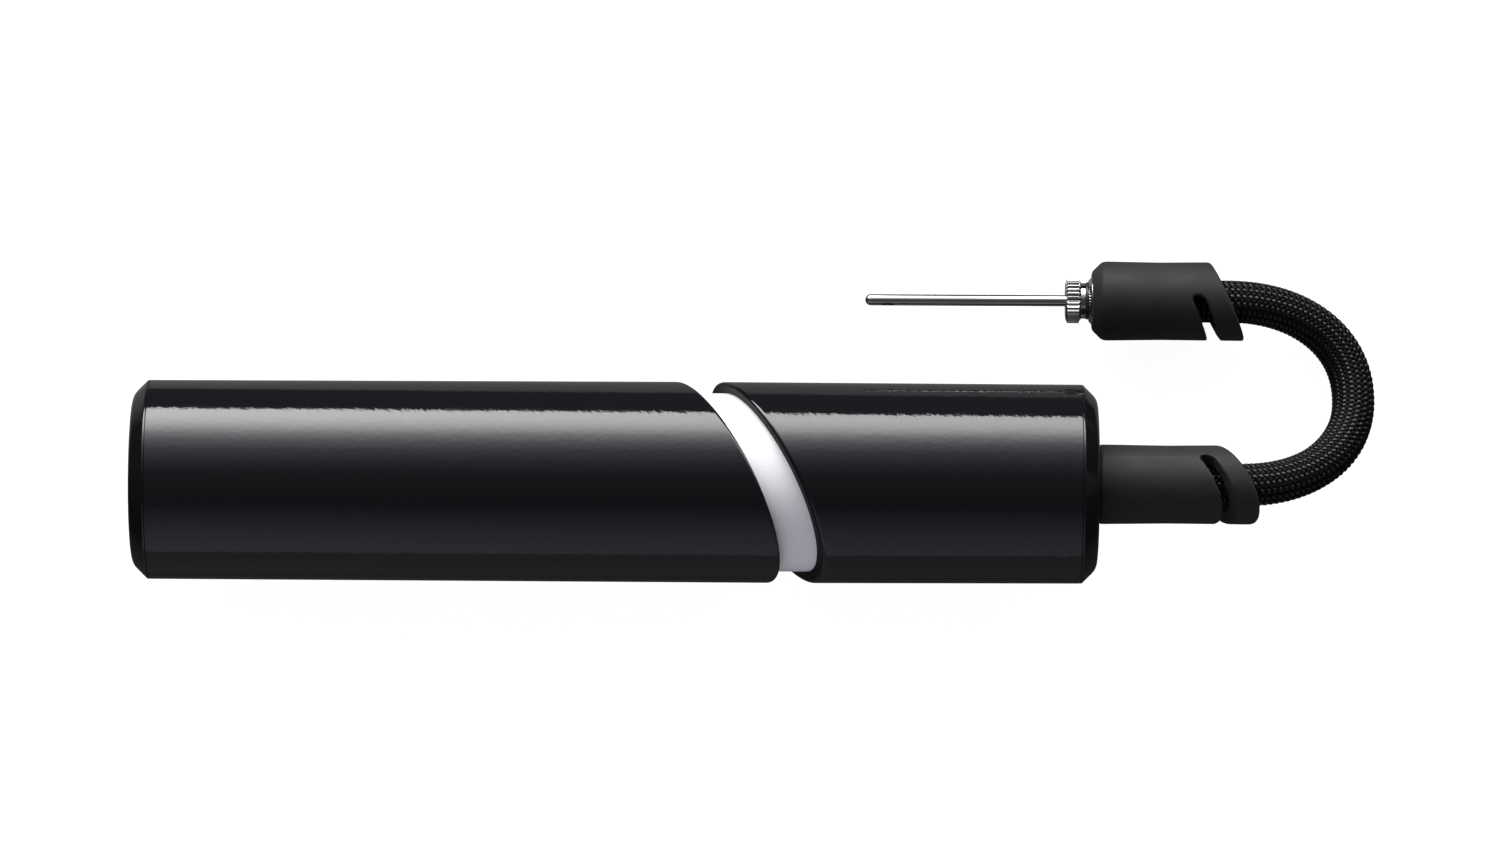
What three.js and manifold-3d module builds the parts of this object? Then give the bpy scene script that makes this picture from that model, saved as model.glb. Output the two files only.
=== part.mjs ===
// Ball inflation pump: two gloss sleeves over a white barrel, a braided hose and a ball needle.
//
// Frame: millimetres, +Z up from the surface that the pump lies on. X runs along the pump's axis,
// from the handle's end face to the hose end. The origin is under the middle of the closed pump.

import * as THREE from 'three';
import { mergeVertices } from 'three/addons/utils/BufferGeometryUtils.js';
import Module from 'manifold-3d';

const wasm = await Module();
wasm.setup();

// ---------------------------------------------------------------------------- driving dimensions

// Outside of the two sleeves
const pumpLength = 169; // over both end faces, with the handle pushed home
const handleLength = 103.7; // handle end face to the middle of its oblique mouth
const seamGap = 7.2; // ring of bare barrel between the two mouths, along X
const seamTilt = 29.7; // degrees that both mouths lean away from square
const seamTurn = 38; // degrees from -Y towards +Z of the side where the mouths reach furthest +X
const pumpDiameter = 35.2; // both sleeves at their mouths
const sleeveDraft = 0.15; // how much smaller their radius is at the end caps
const sleeveWall = 1.92; // at the mouths
const lipRadius = 0.7; // rounding of each mouth
const capChamferLength = 2.9; // the end caps' bevelled rim, along X
const capChamferDepth = 2.4; // and across it
const capEase = 0.4; // small second bevel at both edges of that rim
const capSpigotLength = 4.6; // how far each end cap reaches into its sleeve
const capWall = 1.8; // round the spigot and the bosses
const capFace = 2.4; // thickness of the end face
const capFootFloor = 5; // thickness under the rod's foot

// Barrel, and what closes its two ends
const barrelWall = 1.6;
const barrelInset = 12.5; // handle end face to the barrel's open end
const guideFlange = 1.5;
const guideDepth = 8;
const guideVentRadius = 1.3;
const guideVentInset = 4.5; // barrel's bore to the circle that the air vents stand on
const headFlange = 2.2;
const headDepth = 14.7; // how far the valve head reaches into the barrel
const headSealInset = 5; // valve head's face to the groove of its seal

// Piston and its rod
const stroke = 75;
const rodRibRadius = 5;
const rodRibThickness = 2.2;
const rodCoreRadius = 3;
const stopRibRadius = 8; // the wider ribs that end the stroke
const rodFootRadius = 6;
const rodFootLength = 4;
const rodHeadLength = 3;
const pistonLength = 13;
const pistonGap = 0.6; // piston to the valve head, with the handle pushed home
const pistonLand = 2.6; // wall in front of the ring's groove
const reliefWidth = 3.2; // the slots that let air past the ring on the return stroke
const reliefCount = 4;
const ringSection = 2.8; // diameter of the piston ring's and head seal's rubber
const ringFloat = 0.8; // how far the piston ring slides in its groove
const ringSlack = 0.15; // radial room under both rings
const bumperThickness = 2;

// Screws: shank, head and the recess that takes the head
const screwRadius = 1.75;
const screwLength = 11;
const screwHeadRadius = 3.4;
const screwHeadHeight = 2;
const screwRecess = 0.5; // how far the heads lie below the face round them
const screwRecessSlack = 0.4; // radial room round the heads
const crossSlotWidth = 0.9;
const crossSlotDepth = 1.1;

// Outlet valve
const seatRadius = 1.25;
const seatLength = 3;
const chamberRadius = 2.5;
const chamberLength = 8.75;
const ballSlack = 0.3; // radial room round the ball
const springInset = 0.45; // ball's radius to the middle of the spring's wire
const springWireRadius = 0.2;
const springTurns = 6;
const retainerStep = 0.7; // how much wider the retainer is than the chamber
const retainerLength = 1.9;
const retainerHole = 1.4;

// Threaded port and the hose fitting that screws into it
const portRadius = 4.1;
const portBossWall = 1.2; // round the washer's seat
const threadClearance = 0.1;
const threadChamfer = 0.5;
const shankEndGap = 1.2; // shank of the hose fitting to the retainer
const fittingFlangeLength = 3.2;
const fittingTailRadius = 3.4;
const fittingTailLength = 1.2;
const airwayRadius = 1.4;
const washerSection = 1.4; // diameter of the O-ring under the hose fitting

// Hose and its two rubber boots
const hoseDiameter = 7.6;
const bootDiameter = 14;
const bootWaist = 0.15; // how much smaller its radius is at the middle
const bootLength = 24; // base to the middle of its oblique end
const bootSlotWidth = 2.4; // along X
const bootRing = 4.2; // the band left between the slot and the oblique end, along X
const bootFlare = 0.7; // how much the bore widens at its bell mouth
const bootLip = 0.5; // rounding of the oblique end
const bootLipFlare = 0.1; // how far the lip stands out from the waist
const pumpBootTilt = 31.6;
const pumpBootTurn = 47;
const chuckBootTilt = 23.9;
const chuckBootTurn = 5;
const pumpBootChamfer = 0.3;
const chuckBootRim = 0.85; // flat rim of rubber round the socket, inside the boot's bevel
const ferruleWall = 0.6;
const ferruleLength = 8;

// Chuck socket and needle
const socketWall = 1.2; // round the thread, at the boot's base
const socketNoseWall = 0.6; // and at the socket's face
const socketProud = 0.55; // how far the socket stands out of the boot's base
const socketNeck = 3.25; // base to the flange that locks the socket in the boot
const socketFloor = 1.1;
const needleThreadRadius = 2.9;
const needleThread = 6.1;
const needleNeckStep = 0.25; // how much wider the neck is than the thread
const needleNeck = 0.85;
const knurlHeight = 0.8; // top of the knurl over the neck
const knurlDepth = 0.35;
const knurlLength = 2.7;
const knurlCount = 30;
const needleWasherThickness = 0.45;
const needleWasherProud = 0.1; // how far the washer stands out round the socket's face
const needleRadius = 1;
const needleBore = 0.6;
const needleReach = 35.3; // needle tip to the knurled collar
const needleSeat = 5; // how far the needle is pressed into its collar
const airHoleLength = 2;
const airHoleWidth = 0.8;
const airHoleInset = 3; // needle tip to the near end of the air hole
const airHoleTurn = 55; // degrees from the top towards -Y

// Clearances
const slideFit = 0.08; // radial, between pieces that slide on each other
const pressFit = 0.05; // radial, between pieces that are pressed or screwed home
const faceGap = 0.05; // between faces that meet
const softGap = 0.3; // round and at the ends of the hose

// Facets round a full turn
const largeFacets = 32;
const mediumFacets = 24;
const smallFacets = 16;

// The hose's one turn, from the pump's boot down to the surface and back into the chuck's boot
const hoseReach = 21.4; // how far the turn reaches past the boots' ends
const hoseLean = 1; // the turn starts this much further on than it ends
const chuckAway = 32.3; // pump's axis to the chuck's
const chuckBase = -0.7; // the chuck boot's base along X, from the pump's hose-end face
const hoseInBoot = 19.6; // pump's boot: oblique end to the hose's cut end, along its middle
const hoseInChuck = 17.3; // chuck's boot: the same

// ------------------------------------------------------------------------------- derived places

const axisHeight = pumpDiameter / 2;
const endRadius = pumpDiameter / 2 - sleeveDraft;
const handleFace = -pumpLength / 2;
const hoseFace = pumpLength / 2;
const handleMouth = handleFace + handleLength;
const shellMouth = handleMouth + seamGap;

const sleeveBore = pumpDiameter / 2 - sleeveWall;
const barrelRadius = sleeveBore - slideFit;
const boreRadius = barrelRadius - barrelWall;
const barrelStart = handleFace + barrelInset;
const capInnerEnd = hoseFace - capChamferLength - capSpigotLength;
const barrelEnd = capInnerEnd - headFlange - 2 * faceGap;
const headFace = barrelEnd - headDepth;
const guideInnerFace = barrelStart + guideDepth;

const pistonFront = headFace - pistonGap;
const pistonBack = pistonFront - pistonLength;
const rodStart = handleFace + capFootFloor;
const stopShoulder = guideInnerFace + bumperThickness + stroke + 2 * faceGap;
const grooveFloor = boreRadius - slideFit / 2 - ringSection - ringSlack;
const grooveFront = pistonFront - pistonLand;
const grooveBack = grooveFront - ringSection - ringFloat - 2 * faceGap;

const headSealStart = headFace + headSealInset;
const chamberStart = headFace + seatLength + (chamberRadius - seatRadius);
const chamberEnd = chamberStart + chamberLength;
const retainerRadius = chamberRadius + retainerStep;
const portStart = chamberEnd + retainerLength + 2 * faceGap;
const ballRadius = chamberRadius - ballSlack;
const springRadius = ballRadius - springInset;
const coneApex = headFace + seatLength - seatRadius;
const ballCentre = coneApex + (ballRadius + faceGap) * Math.SQRT2;

const washerSeatRadius = portRadius + washerSection + 2 * faceGap;
const portBossRadius = washerSeatRadius + portBossWall;
const shankRadius = portRadius - threadClearance;
const shankLength = hoseFace - portStart - shankEndGap;
const fittingFlangeRadius = portRadius + washerSection;

const hoseRadius = hoseDiameter / 2;
const bootRadius = bootDiameter / 2;
const bootBore = hoseRadius + softGap;
const ferruleOuter = bootBore + ferruleWall;
const bootFerruleBore = ferruleOuter + 2 * pressFit;
const pumpBootBase = softGap;
const hoseTurn = pumpBootBase + bootLength; // where the hose's turn starts, from the hose-end face
const hoseStart = hoseTurn - hoseInBoot;
const hoseEnd = hoseTurn - hoseInChuck;
const chuckDrop = axisHeight - bootRadius - faceGap; // the chuck's boot lies on the surface
const hoseSag = 1.2 * (axisHeight - hoseRadius - 0.75 * chuckDrop); // keeps the turn off the surface

const socketBore = needleThreadRadius + threadClearance;
const socketRadius = socketBore + socketWall;
const socketNose = socketBore + socketNoseWall;
const socketFlangeRadius = (socketRadius + bootRadius) / 2 - 2 * threadClearance;
const chuckBootChamfer = bootRadius - socketRadius - pressFit - chuckBootRim;
const needleNeckRadius = needleThreadRadius + needleNeckStep;
const knurlRadius = needleNeckRadius + knurlHeight;

const radians = THREE.MathUtils.degToRad;

// ------------------------------------------------------------------------------------- geometry

// Joins vertices that share a place, and drops the triangles that have no area.
function welded(geometry) {
  geometry.deleteAttribute('normal');
  geometry.deleteAttribute('uv');
  const merged = mergeVertices(geometry, 1e-4);
  const source = merged.index.array;
  const kept = [];
  for (let i = 0; i < source.length; i += 3) {
    const [a, b, c] = source.slice(i, i + 3);
    if (a !== b && b !== c && c !== a) kept.push(a, b, c);
  }
  merged.setIndex(kept);
  return merged;
}

// A piece turned about the X axis. The profile is a list of [x, radius] round its section: outwards
// at low x, along the outside, inwards at high x and back along the inside.
function turned(profile, facets) {
  const points = profile.map(([x, radius]) => new THREE.Vector2(radius, x));
  if (profile[0][1] > 0) points.push(points[0].clone());
  return welded(new THREE.LatheGeometry(points, facets).rotateZ(-Math.PI / 2));
}

// The section of a plain ring, or of a disc where the inner radius is zero.
function ringProfile(start, end, inner, outer) {
  return [[start, inner], [start, outer], [end, outer], [end, inner]];
}

// Points on a rounded corner: an arc about [x, radius] between two angles in degrees, where 0 is
// along +X and 90 is outwards.
function arcProfile(x, radius, size, from, to, steps = 3) {
  const points = [];
  for (let i = 0; i <= steps; i += 1) {
    const angle = radians(from + ((to - from) * i) / steps);
    points.push([x + size * Math.cos(angle), radius + size * Math.sin(angle)]);
  }
  return points;
}

// An O-ring about the X axis.
function oRing(centre, middleRadius, section, facets) {
  const circle = arcProfile(centre, middleRadius, section / 2, 180, -180, 8).slice(0, -1);
  return turned(circle, facets);
}

// An outline in the YZ plane, drawn out along X.
function extruded(shape, start, end) {
  const geometry = new THREE.ExtrudeGeometry(shape, { depth: end - start, bevelEnabled: false });
  return welded(geometry.rotateY(Math.PI / 2).translate(start, 0, 0));
}

// Leans a square end: each point chosen moves along X by how far it lies on the turned side.
function leaned(geometry, tilt, turn, chosen) {
  const slope = Math.tan(radians(tilt));
  const position = geometry.attributes.position;
  for (let i = 0; i < position.count; i += 1) {
    const x = position.getX(i);
    const reach = Math.sin(radians(turn)) * position.getZ(i) - Math.cos(radians(turn)) * position.getY(i);
    if (chosen(x)) position.setX(i, x + slope * reach);
  }
  return geometry;
}

function toSolid(geometry) {
  return new wasm.Manifold(new wasm.Mesh({
    numProp: 3,
    vertProperties: new Float32Array(geometry.attributes.position.array),
    triVerts: new Uint32Array(geometry.index.array),
  }));
}

function fromSolid(solid) {
  const { vertProperties, triVerts } = solid.getMesh();
  const geometry = new THREE.BufferGeometry();
  geometry.setAttribute('position', new THREE.BufferAttribute(vertProperties, 3));
  geometry.setIndex(new THREE.BufferAttribute(triVerts, 1));
  return geometry;
}

function joined(...geometries) {
  return fromSolid(geometries.map(toSolid).reduce((whole, piece) => whole.add(piece)));
}

function cut(geometry, ...tools) {
  return fromSolid(tools.map(toSolid).reduce((rest, tool) => rest.subtract(tool), toSolid(geometry)));
}

// A rod along X for cutting and joining.
function rod(start, end, radius, facets = smallFacets) {
  return turned(ringProfile(start, end, 0, radius), facets);
}

// ------------------------------------------------------------------------------- sleeves and caps

function handleSleeve() {
  const end = handleFace + capChamferLength + faceGap;
  const profile = [
    [end, sleeveBore],
    [end, endRadius],
    ...arcProfile(handleMouth - lipRadius, pumpDiameter / 2 - lipRadius, lipRadius, 90, 0),
    ...arcProfile(handleMouth - lipRadius, sleeveBore + lipRadius, lipRadius, 0, -90),
  ];
  return leaned(turned(profile, largeFacets), seamTilt, seamTurn, (x) => x > end + 1);
}

function bodyShell() {
  const end = hoseFace - capChamferLength - faceGap;
  const inner = barrelRadius + pressFit;
  const profile = [
    ...arcProfile(shellMouth + lipRadius, inner + lipRadius, lipRadius, 270, 180),
    ...arcProfile(shellMouth + lipRadius, pumpDiameter / 2 - lipRadius, lipRadius, 180, 90),
    [end, endRadius],
    [end, inner],
  ];
  return leaned(turned(profile, largeFacets), seamTilt, seamTurn, (x) => x < end - 1);
}

// The bevelled rim that both end caps share, from the end face at `face` to the sleeve. `side` is
// +1 where the cap's inside is towards +X.
function capRim(face, side) {
  const bevel = endRadius - capChamferDepth;
  return [
    [face, bevel - capEase],
    [face + (side * capEase) / 2, bevel],
    [face + side * (capChamferLength - capEase / 2), endRadius - capEase / 2],
    [face + side * capChamferLength, endRadius],
  ];
}

// The handle's end cap: a bevelled disc with a spigot in the sleeve, a boss that holds the rod's
// foot, and a recess outside for the screw.
function handleEndCap() {
  const rim = handleFace + capChamferLength;
  const spigot = rim + capSpigotLength;
  const spigotRadius = sleeveBore - pressFit;
  const bossBore = rodFootRadius + pressFit;
  const recess = screwHeadRadius + screwRecessSlack;
  const recessFloor = handleFace + screwHeadHeight + screwRecess;
  return turned([
    [handleFace, recess],
    ...capRim(handleFace, 1),
    [rim, spigotRadius],
    [spigot, spigotRadius],
    [spigot, spigotRadius - capWall],
    [handleFace + capFace, spigotRadius - capWall],
    [handleFace + capFace, bossBore + capWall],
    [rodStart + rodFootLength, bossBore + capWall],
    [rodStart + rodFootLength, bossBore],
    [rodStart - faceGap, bossBore],
    [rodStart - faceGap, screwRadius + pressFit],
    [recessFloor, screwRadius + pressFit],
    [recessFloor, recess],
  ], largeFacets);
}

// The hose end's cap: the same bevelled disc with a hole for the valve head's port.
function bodyEndCap() {
  const rim = hoseFace - capChamferLength;
  const hole = portBossRadius + 3 * pressFit;
  const boss = capInnerEnd + 1;
  return turned([
    [capInnerEnd, barrelRadius - capWall],
    [capInnerEnd, barrelRadius],
    [rim, barrelRadius],
    ...capRim(hoseFace, -1).reverse(),
    [hoseFace, hole],
    [boss, hole],
    [boss, hole + capWall],
    [hoseFace - capFace, hole + capWall],
    [hoseFace - capFace, barrelRadius - capWall],
  ], largeFacets);
}

// ---------------------------------------------------------------------- barrel, guide and rod

function barrel() {
  return turned(ringProfile(barrelStart, barrelEnd, boreRadius, barrelRadius), largeFacets);
}

// The rod's section: four ribs on a round core. The guide's hole is the same, grown by a clearance.
function ribOutline(ribRadius, grow) {
  const half = rodRibThickness / 2 + grow;
  const core = rodCoreRadius + grow;
  const tip = ribRadius + grow;
  const shoulder = Math.asin(half / core);
  const shape = new THREE.Shape();
  for (let rib = 0; rib < 4; rib += 1) {
    const angle = (rib * Math.PI) / 2;
    const turn = (along, across) => [
      along * Math.cos(angle) - across * Math.sin(angle),
      along * Math.sin(angle) + across * Math.cos(angle),
    ];
    const start = turn(core * Math.cos(shoulder), -half);
    if (rib === 0) shape.moveTo(...start);
    else shape.lineTo(...start);
    shape.lineTo(...turn(tip, -half));
    shape.lineTo(...turn(tip, half));
    shape.lineTo(...turn(core * Math.cos(shoulder), half));
    for (let step = 1; step < 3; step += 1) {
      const bend = shoulder + ((Math.PI / 2 - 2 * shoulder) * step) / 3;
      shape.lineTo(...turn(core * Math.cos(bend), core * Math.sin(bend)));
    }
  }
  return shape;
}

function pistonRod() {
  const end = pistonBack - faceGap;
  const body = joined(
    extruded(ribOutline(rodRibRadius, 0), rodStart + 1, end - 1),
    extruded(ribOutline(stopRibRadius, 0), stopShoulder, end - 1),
    rod(rodStart, rodStart + rodFootLength, rodFootRadius, mediumFacets),
    rod(end - rodHeadLength, end, stopRibRadius, mediumFacets),
  );
  const pilot = screwRadius + pressFit;
  return cut(
    body,
    rod(rodStart - 1, rodStart + screwLength, pilot),
    rod(end - screwLength, end + 1, pilot),
  );
}

function rodGuide() {
  const body = turned([
    [barrelStart - guideFlange - faceGap, 0],
    [barrelStart - guideFlange - faceGap, barrelRadius - 0.4],
    [barrelStart - faceGap, barrelRadius - 0.4],
    [barrelStart - faceGap, boreRadius - pressFit],
    [guideInnerFace, boreRadius - pressFit],
    [guideInnerFace, 0],
  ], largeFacets);
  const before = barrelStart - guideFlange - 1;
  const behind = guideInnerFace + 1;
  const ventCircle = boreRadius - guideVentInset;
  const vents = [];
  for (let i = 0; i < 4; i += 1) {
    const angle = radians(45 + 90 * i);
    const vent = rod(before, behind, guideVentRadius, smallFacets);
    vents.push(vent.translate(0, ventCircle * Math.cos(angle), ventCircle * Math.sin(angle)));
  }
  return cut(body, extruded(ribOutline(rodRibRadius, slideFit), before, behind), ...vents);
}

// Rubber washer on the rod, against the wide ribs: it meets the guide at the end of the stroke.
function stopBumper() {
  const end = stopShoulder - faceGap;
  const inner = rodRibRadius + 2 * slideFit;
  return turned(ringProfile(end - bumperThickness, end, inner, stopRibRadius + 1), mediumFacets);
}

function piston() {
  const outer = boreRadius - 2 * slideFit;
  const recess = screwHeadRadius + screwRecessSlack;
  const recessFloor = pistonFront - screwHeadHeight - screwRecess;
  const body = turned([
    [pistonBack, screwRadius + pressFit],
    [pistonBack, outer - 1],
    [pistonBack + 1, outer],
    [grooveBack, outer],
    [grooveBack, grooveFloor],
    [grooveFront, grooveFloor],
    [grooveFront, outer],
    [pistonFront - 0.5, outer],
    [pistonFront, outer - 0.5],
    [pistonFront, recess],
    [recessFloor, recess],
    [recessFloor, screwRadius + pressFit],
  ], largeFacets);
  const slots = [];
  for (let i = 0; i < reliefCount; i += 1) {
    const slot = new THREE.BoxGeometry(pistonLand + 0.5, 2 * ringSection, reliefWidth);
    slot.translate(grooveFront + pistonLand / 2 + 0.2, grooveFloor + ringSection, 0);
    slots.push(welded(slot.rotateX((i * 2 * Math.PI) / reliefCount)));
  }
  return cut(body, ...slots);
}

function pistonRing() {
  const outer = boreRadius - slideFit / 2;
  const centre = grooveBack + faceGap + ringSection / 2;
  return oRing(centre, outer - ringSection / 2, ringSection, largeFacets);
}

// A pan-head screw along X with a cross recess. Its head lies at `face`, and `side` is +1 where the
// shank runs towards +X.
function screw(face, side) {
  const head = rod(0, screwHeadHeight, screwHeadRadius, smallFacets);
  const shank = rod(screwHeadHeight - 0.5, screwHeadHeight + screwLength, screwRadius, smallFacets);
  const slots = [0, Math.PI / 2].map((angle) => {
    const slot = new THREE.BoxGeometry(2 * crossSlotDepth, 2 * screwHeadRadius * 0.6, crossSlotWidth);
    return welded(slot.rotateX(angle));
  });
  const made = cut(joined(head, shank), ...slots);
  if (side < 0) made.rotateZ(Math.PI);
  return made.translate(face, 0, 0);
}

// ----------------------------------------------------------------------------------- valve head

// Plug in the barrel's far end: valve seat, ball chamber, retainer pocket and threaded port in line.
function valveHead() {
  const flange = barrelEnd + faceGap;
  const plug = boreRadius - pressFit;
  const grooveEnd = headSealStart + ringSection + 2 * faceGap;
  const washerSeat = hoseFace - washerSection - 2 * faceGap;
  const face = hoseFace - 2 * faceGap;
  return turned([
    [headFace, seatRadius],
    [headFace, plug],
    [headSealStart, plug],
    [headSealStart, grooveFloor],
    [grooveEnd, grooveFloor],
    [grooveEnd, plug],
    [flange, plug],
    [flange, barrelRadius - faceGap],
    [flange + headFlange, barrelRadius - faceGap],
    [flange + headFlange, portBossRadius],
    [face, portBossRadius],
    [face, washerSeatRadius],
    [washerSeat, washerSeatRadius],
    [washerSeat, portRadius],
    [portStart, portRadius],
    [portStart, retainerRadius],
    [chamberEnd, retainerRadius],
    [chamberEnd, chamberRadius],
    [chamberStart, chamberRadius],
    [headFace + seatLength, seatRadius],
  ], largeFacets);
}

function headSeal() {
  const outer = boreRadius - slideFit / 2;
  const centre = headSealStart + faceGap + ringSection / 2;
  return oRing(centre, outer - ringSection / 2, ringSection, largeFacets);
}

function valveBall() {
  return welded(new THREE.SphereGeometry(ballRadius, 16, 10).translate(ballCentre, 0, 0));
}

// The valve's spring, from the ball's shoulder to the retainer.
class SpringLine extends THREE.Curve {
  getPoint(t) {
    const reach = ballRadius + springWireRadius + faceGap;
    const start = ballCentre + Math.sqrt(reach ** 2 - springRadius ** 2);
    const end = chamberEnd - springWireRadius - faceGap;
    const angle = 2 * Math.PI * springTurns * t;
    const across = new THREE.Vector2(Math.cos(angle), Math.sin(angle)).multiplyScalar(springRadius);
    return new THREE.Vector3(start + (end - start) * t, across.x, across.y);
  }
}

function roundShape(radius, sides) {
  const shape = new THREE.Shape();
  for (let i = 0; i < sides; i += 1) {
    const angle = (2 * Math.PI * i) / sides;
    const point = [radius * Math.cos(angle), radius * Math.sin(angle)];
    if (i === 0) shape.moveTo(...point);
    else shape.lineTo(...point);
  }
  return shape;
}

function valveSpring() {
  const options = { steps: springTurns * 8, extrudePath: new SpringLine() };
  return welded(new THREE.ExtrudeGeometry(roundShape(springWireRadius, 6), options));
}

function valveRetainer() {
  const start = chamberEnd + faceGap;
  const profile = ringProfile(start, start + retainerLength, retainerHole, retainerRadius - pressFit);
  return turned(profile, smallFacets);
}

// ------------------------------------------- hose end, measured from the pump's hose-end face

function hoseWasher() {
  const middle = shankRadius + pressFit + washerSection / 2;
  return oRing(-faceGap - washerSection / 2, middle, washerSection, smallFacets);
}

function hoseFitting() {
  const flange = faceGap;
  const tail = flange + fittingFlangeLength;
  return turned([
    [-shankLength, airwayRadius],
    [-shankLength, shankRadius - threadChamfer],
    [threadChamfer - shankLength, shankRadius],
    [flange, shankRadius],
    [flange, fittingFlangeRadius],
    [tail, fittingFlangeRadius],
    [tail, fittingTailRadius],
    [tail + fittingTailLength, fittingTailRadius],
    [tail + fittingTailLength, airwayRadius],
  ], mediumFacets);
}

// A slotted rubber boot round the hose. `bore` lists the steps of its bore from the base as
// [depth, radius]; the last step runs on to the bell mouth.
function boot(base, bore, tilt, turn, chamfer) {
  const waist = bootRadius - bootWaist;
  const end = base + bootLength;
  const slotEnd = end - bootRing;
  const slotStart = slotEnd - bootSlotWidth;
  const inside = [];
  let depth = 0;
  for (const [reach, radius] of bore) {
    inside.push([base + depth, radius], [base + reach, radius]);
    depth = reach;
  }
  inside.push([base + depth, bootBore], [slotStart - 1, bootBore], [end, bootBore + bootFlare]);
  const body = turned([
    [base, bore[0][1]],
    [base, bootRadius - chamfer],
    [base + chamfer, bootRadius],
    [base + bootLength / 2, waist],
    ...arcProfile(end - bootLip, waist + bootLipFlare - bootLip, bootLip, 90, 0, 2),
    ...inside.slice(1).reverse(),
  ], mediumFacets);
  leaned(body, tilt, turn, (x) => x > slotEnd);

  const half = bootSlotWidth / 2;
  const shape = new THREE.Shape();
  shape.moveTo(half, bootDiameter);
  shape.lineTo(-half, bootDiameter);
  shape.lineTo(-half, half - 0.5);
  shape.absarc(0, half - 0.5, half, Math.PI, 2 * Math.PI, false);
  const slot = new THREE.ExtrudeGeometry(shape, {
    depth: 2 * bootDiameter,
    bevelEnabled: false,
    curveSegments: 6,
  });
  slot.translate(slotStart + half, 0, -bootDiameter).rotateX(Math.PI - radians(turn));
  return cut(body, leaned(welded(slot), tilt, turn, () => true));
}

function pumpBoot() {
  const flangeDepth = faceGap + fittingFlangeLength - pumpBootBase + faceGap;
  const bore = [
    [flangeDepth, fittingFlangeRadius + pressFit],
    [flangeDepth + fittingTailLength + ferruleLength, bootFerruleBore],
  ];
  return boot(pumpBootBase, bore, pumpBootTilt, pumpBootTurn, pumpBootChamfer);
}

// The hose's end in its ferrule, from where the hose starts.
function ferrule(start, end) {
  return turned(ringProfile(start, end, bootBore, ferruleOuter), smallFacets);
}

// The hose runs straight in both boots. Between them it makes half an ellipse in plan, goes down
// from the pump's axis to the chuck's, and sags below both.
function hose() {
  const points = [new THREE.Vector3(hoseStart, 0, 0), new THREE.Vector3(hoseTurn - hoseInBoot / 2, 0, 0)];
  for (let step = 0; step <= 12; step += 1) {
    const angle = (Math.PI * step) / 12;
    const across = (1 - Math.cos(angle)) / 2;
    const x = hoseTurn + hoseLean * Math.cos(angle) + hoseReach * Math.sin(angle);
    const z = -chuckDrop * across - hoseSag * Math.sin(angle) ** 1.5;
    points.push(new THREE.Vector3(x, chuckAway * across, z));
  }
  points.push(new THREE.Vector3(hoseTurn - hoseInChuck / 2, chuckAway, -chuckDrop));
  points.push(new THREE.Vector3(hoseEnd, chuckAway, -chuckDrop));
  const line = new THREE.CatmullRomCurve3(points, false, 'centripetal');
  return welded(new THREE.ExtrudeGeometry(roundShape(hoseRadius, 12), { steps: 30, extrudePath: line }));
}

// ------------------------------------- chuck and needle, measured from the chuck boot's base

const socketFace = -socketProud;
const threadEnd = socketFace + needleThread;
const socketEnd = threadEnd + softGap + socketFloor;
const washerFace = socketFace - needleWasherThickness - faceGap;
const neckStart = washerFace - faceGap - needleNeck;
const knurlStart = neckStart - knurlLength;
const needleTip = knurlStart - needleReach;
const chuckHoseEnd = hoseEnd - chuckBase;

function chuckSocket() {
  return turned([
    [socketFace, socketBore],
    [socketFace, socketNose],
    [0, socketRadius],
    [socketNeck, socketRadius],
    [socketNeck, socketFlangeRadius],
    [socketEnd, socketFlangeRadius],
    [socketEnd, airwayRadius],
    [threadEnd + softGap, airwayRadius],
    [threadEnd + softGap, socketBore],
  ], mediumFacets);
}

function chuckBoot() {
  const bore = [
    [socketNeck - faceGap, socketRadius + pressFit],
    [socketEnd + faceGap, socketFlangeRadius + pressFit],
    [chuckHoseEnd + ferruleLength + faceGap, bootFerruleBore],
  ];
  return boot(0, bore, chuckBootTilt, chuckBootTurn, chuckBootChamfer);
}

function needleWasher() {
  const inner = needleThreadRadius + slideFit / 2;
  const outer = socketNose + needleWasherProud;
  const profile = ringProfile(washerFace, washerFace + needleWasherThickness, inner, outer);
  return turned(profile, smallFacets);
}

// Knurled collar with the neck and the threaded end that screws into the chuck.
function needleCollar() {
  const knurl = new THREE.Shape();
  for (let i = 0; i < 2 * knurlCount; i += 1) {
    const radius = i % 2 === 0 ? knurlRadius : knurlRadius - knurlDepth;
    const angle = (Math.PI * i) / knurlCount;
    const point = [radius * Math.cos(angle), radius * Math.sin(angle)];
    if (i === 0) knurl.moveTo(...point);
    else knurl.lineTo(...point);
  }
  const spindle = turned([
    [knurlStart + knurlLength / 2, 0],
    [knurlStart + knurlLength / 2, needleNeckRadius],
    [washerFace - faceGap, needleNeckRadius],
    [washerFace - faceGap, needleThreadRadius],
    [threadEnd - threadChamfer, needleThreadRadius],
    [threadEnd, needleThreadRadius - threadChamfer],
    [threadEnd, 0],
  ], smallFacets);
  const body = joined(extruded(knurl, knurlStart, neckStart), spindle);
  return cut(body, rod(knurlStart - 1, threadEnd + 1, needleRadius + pressFit, 16));
}

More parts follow.
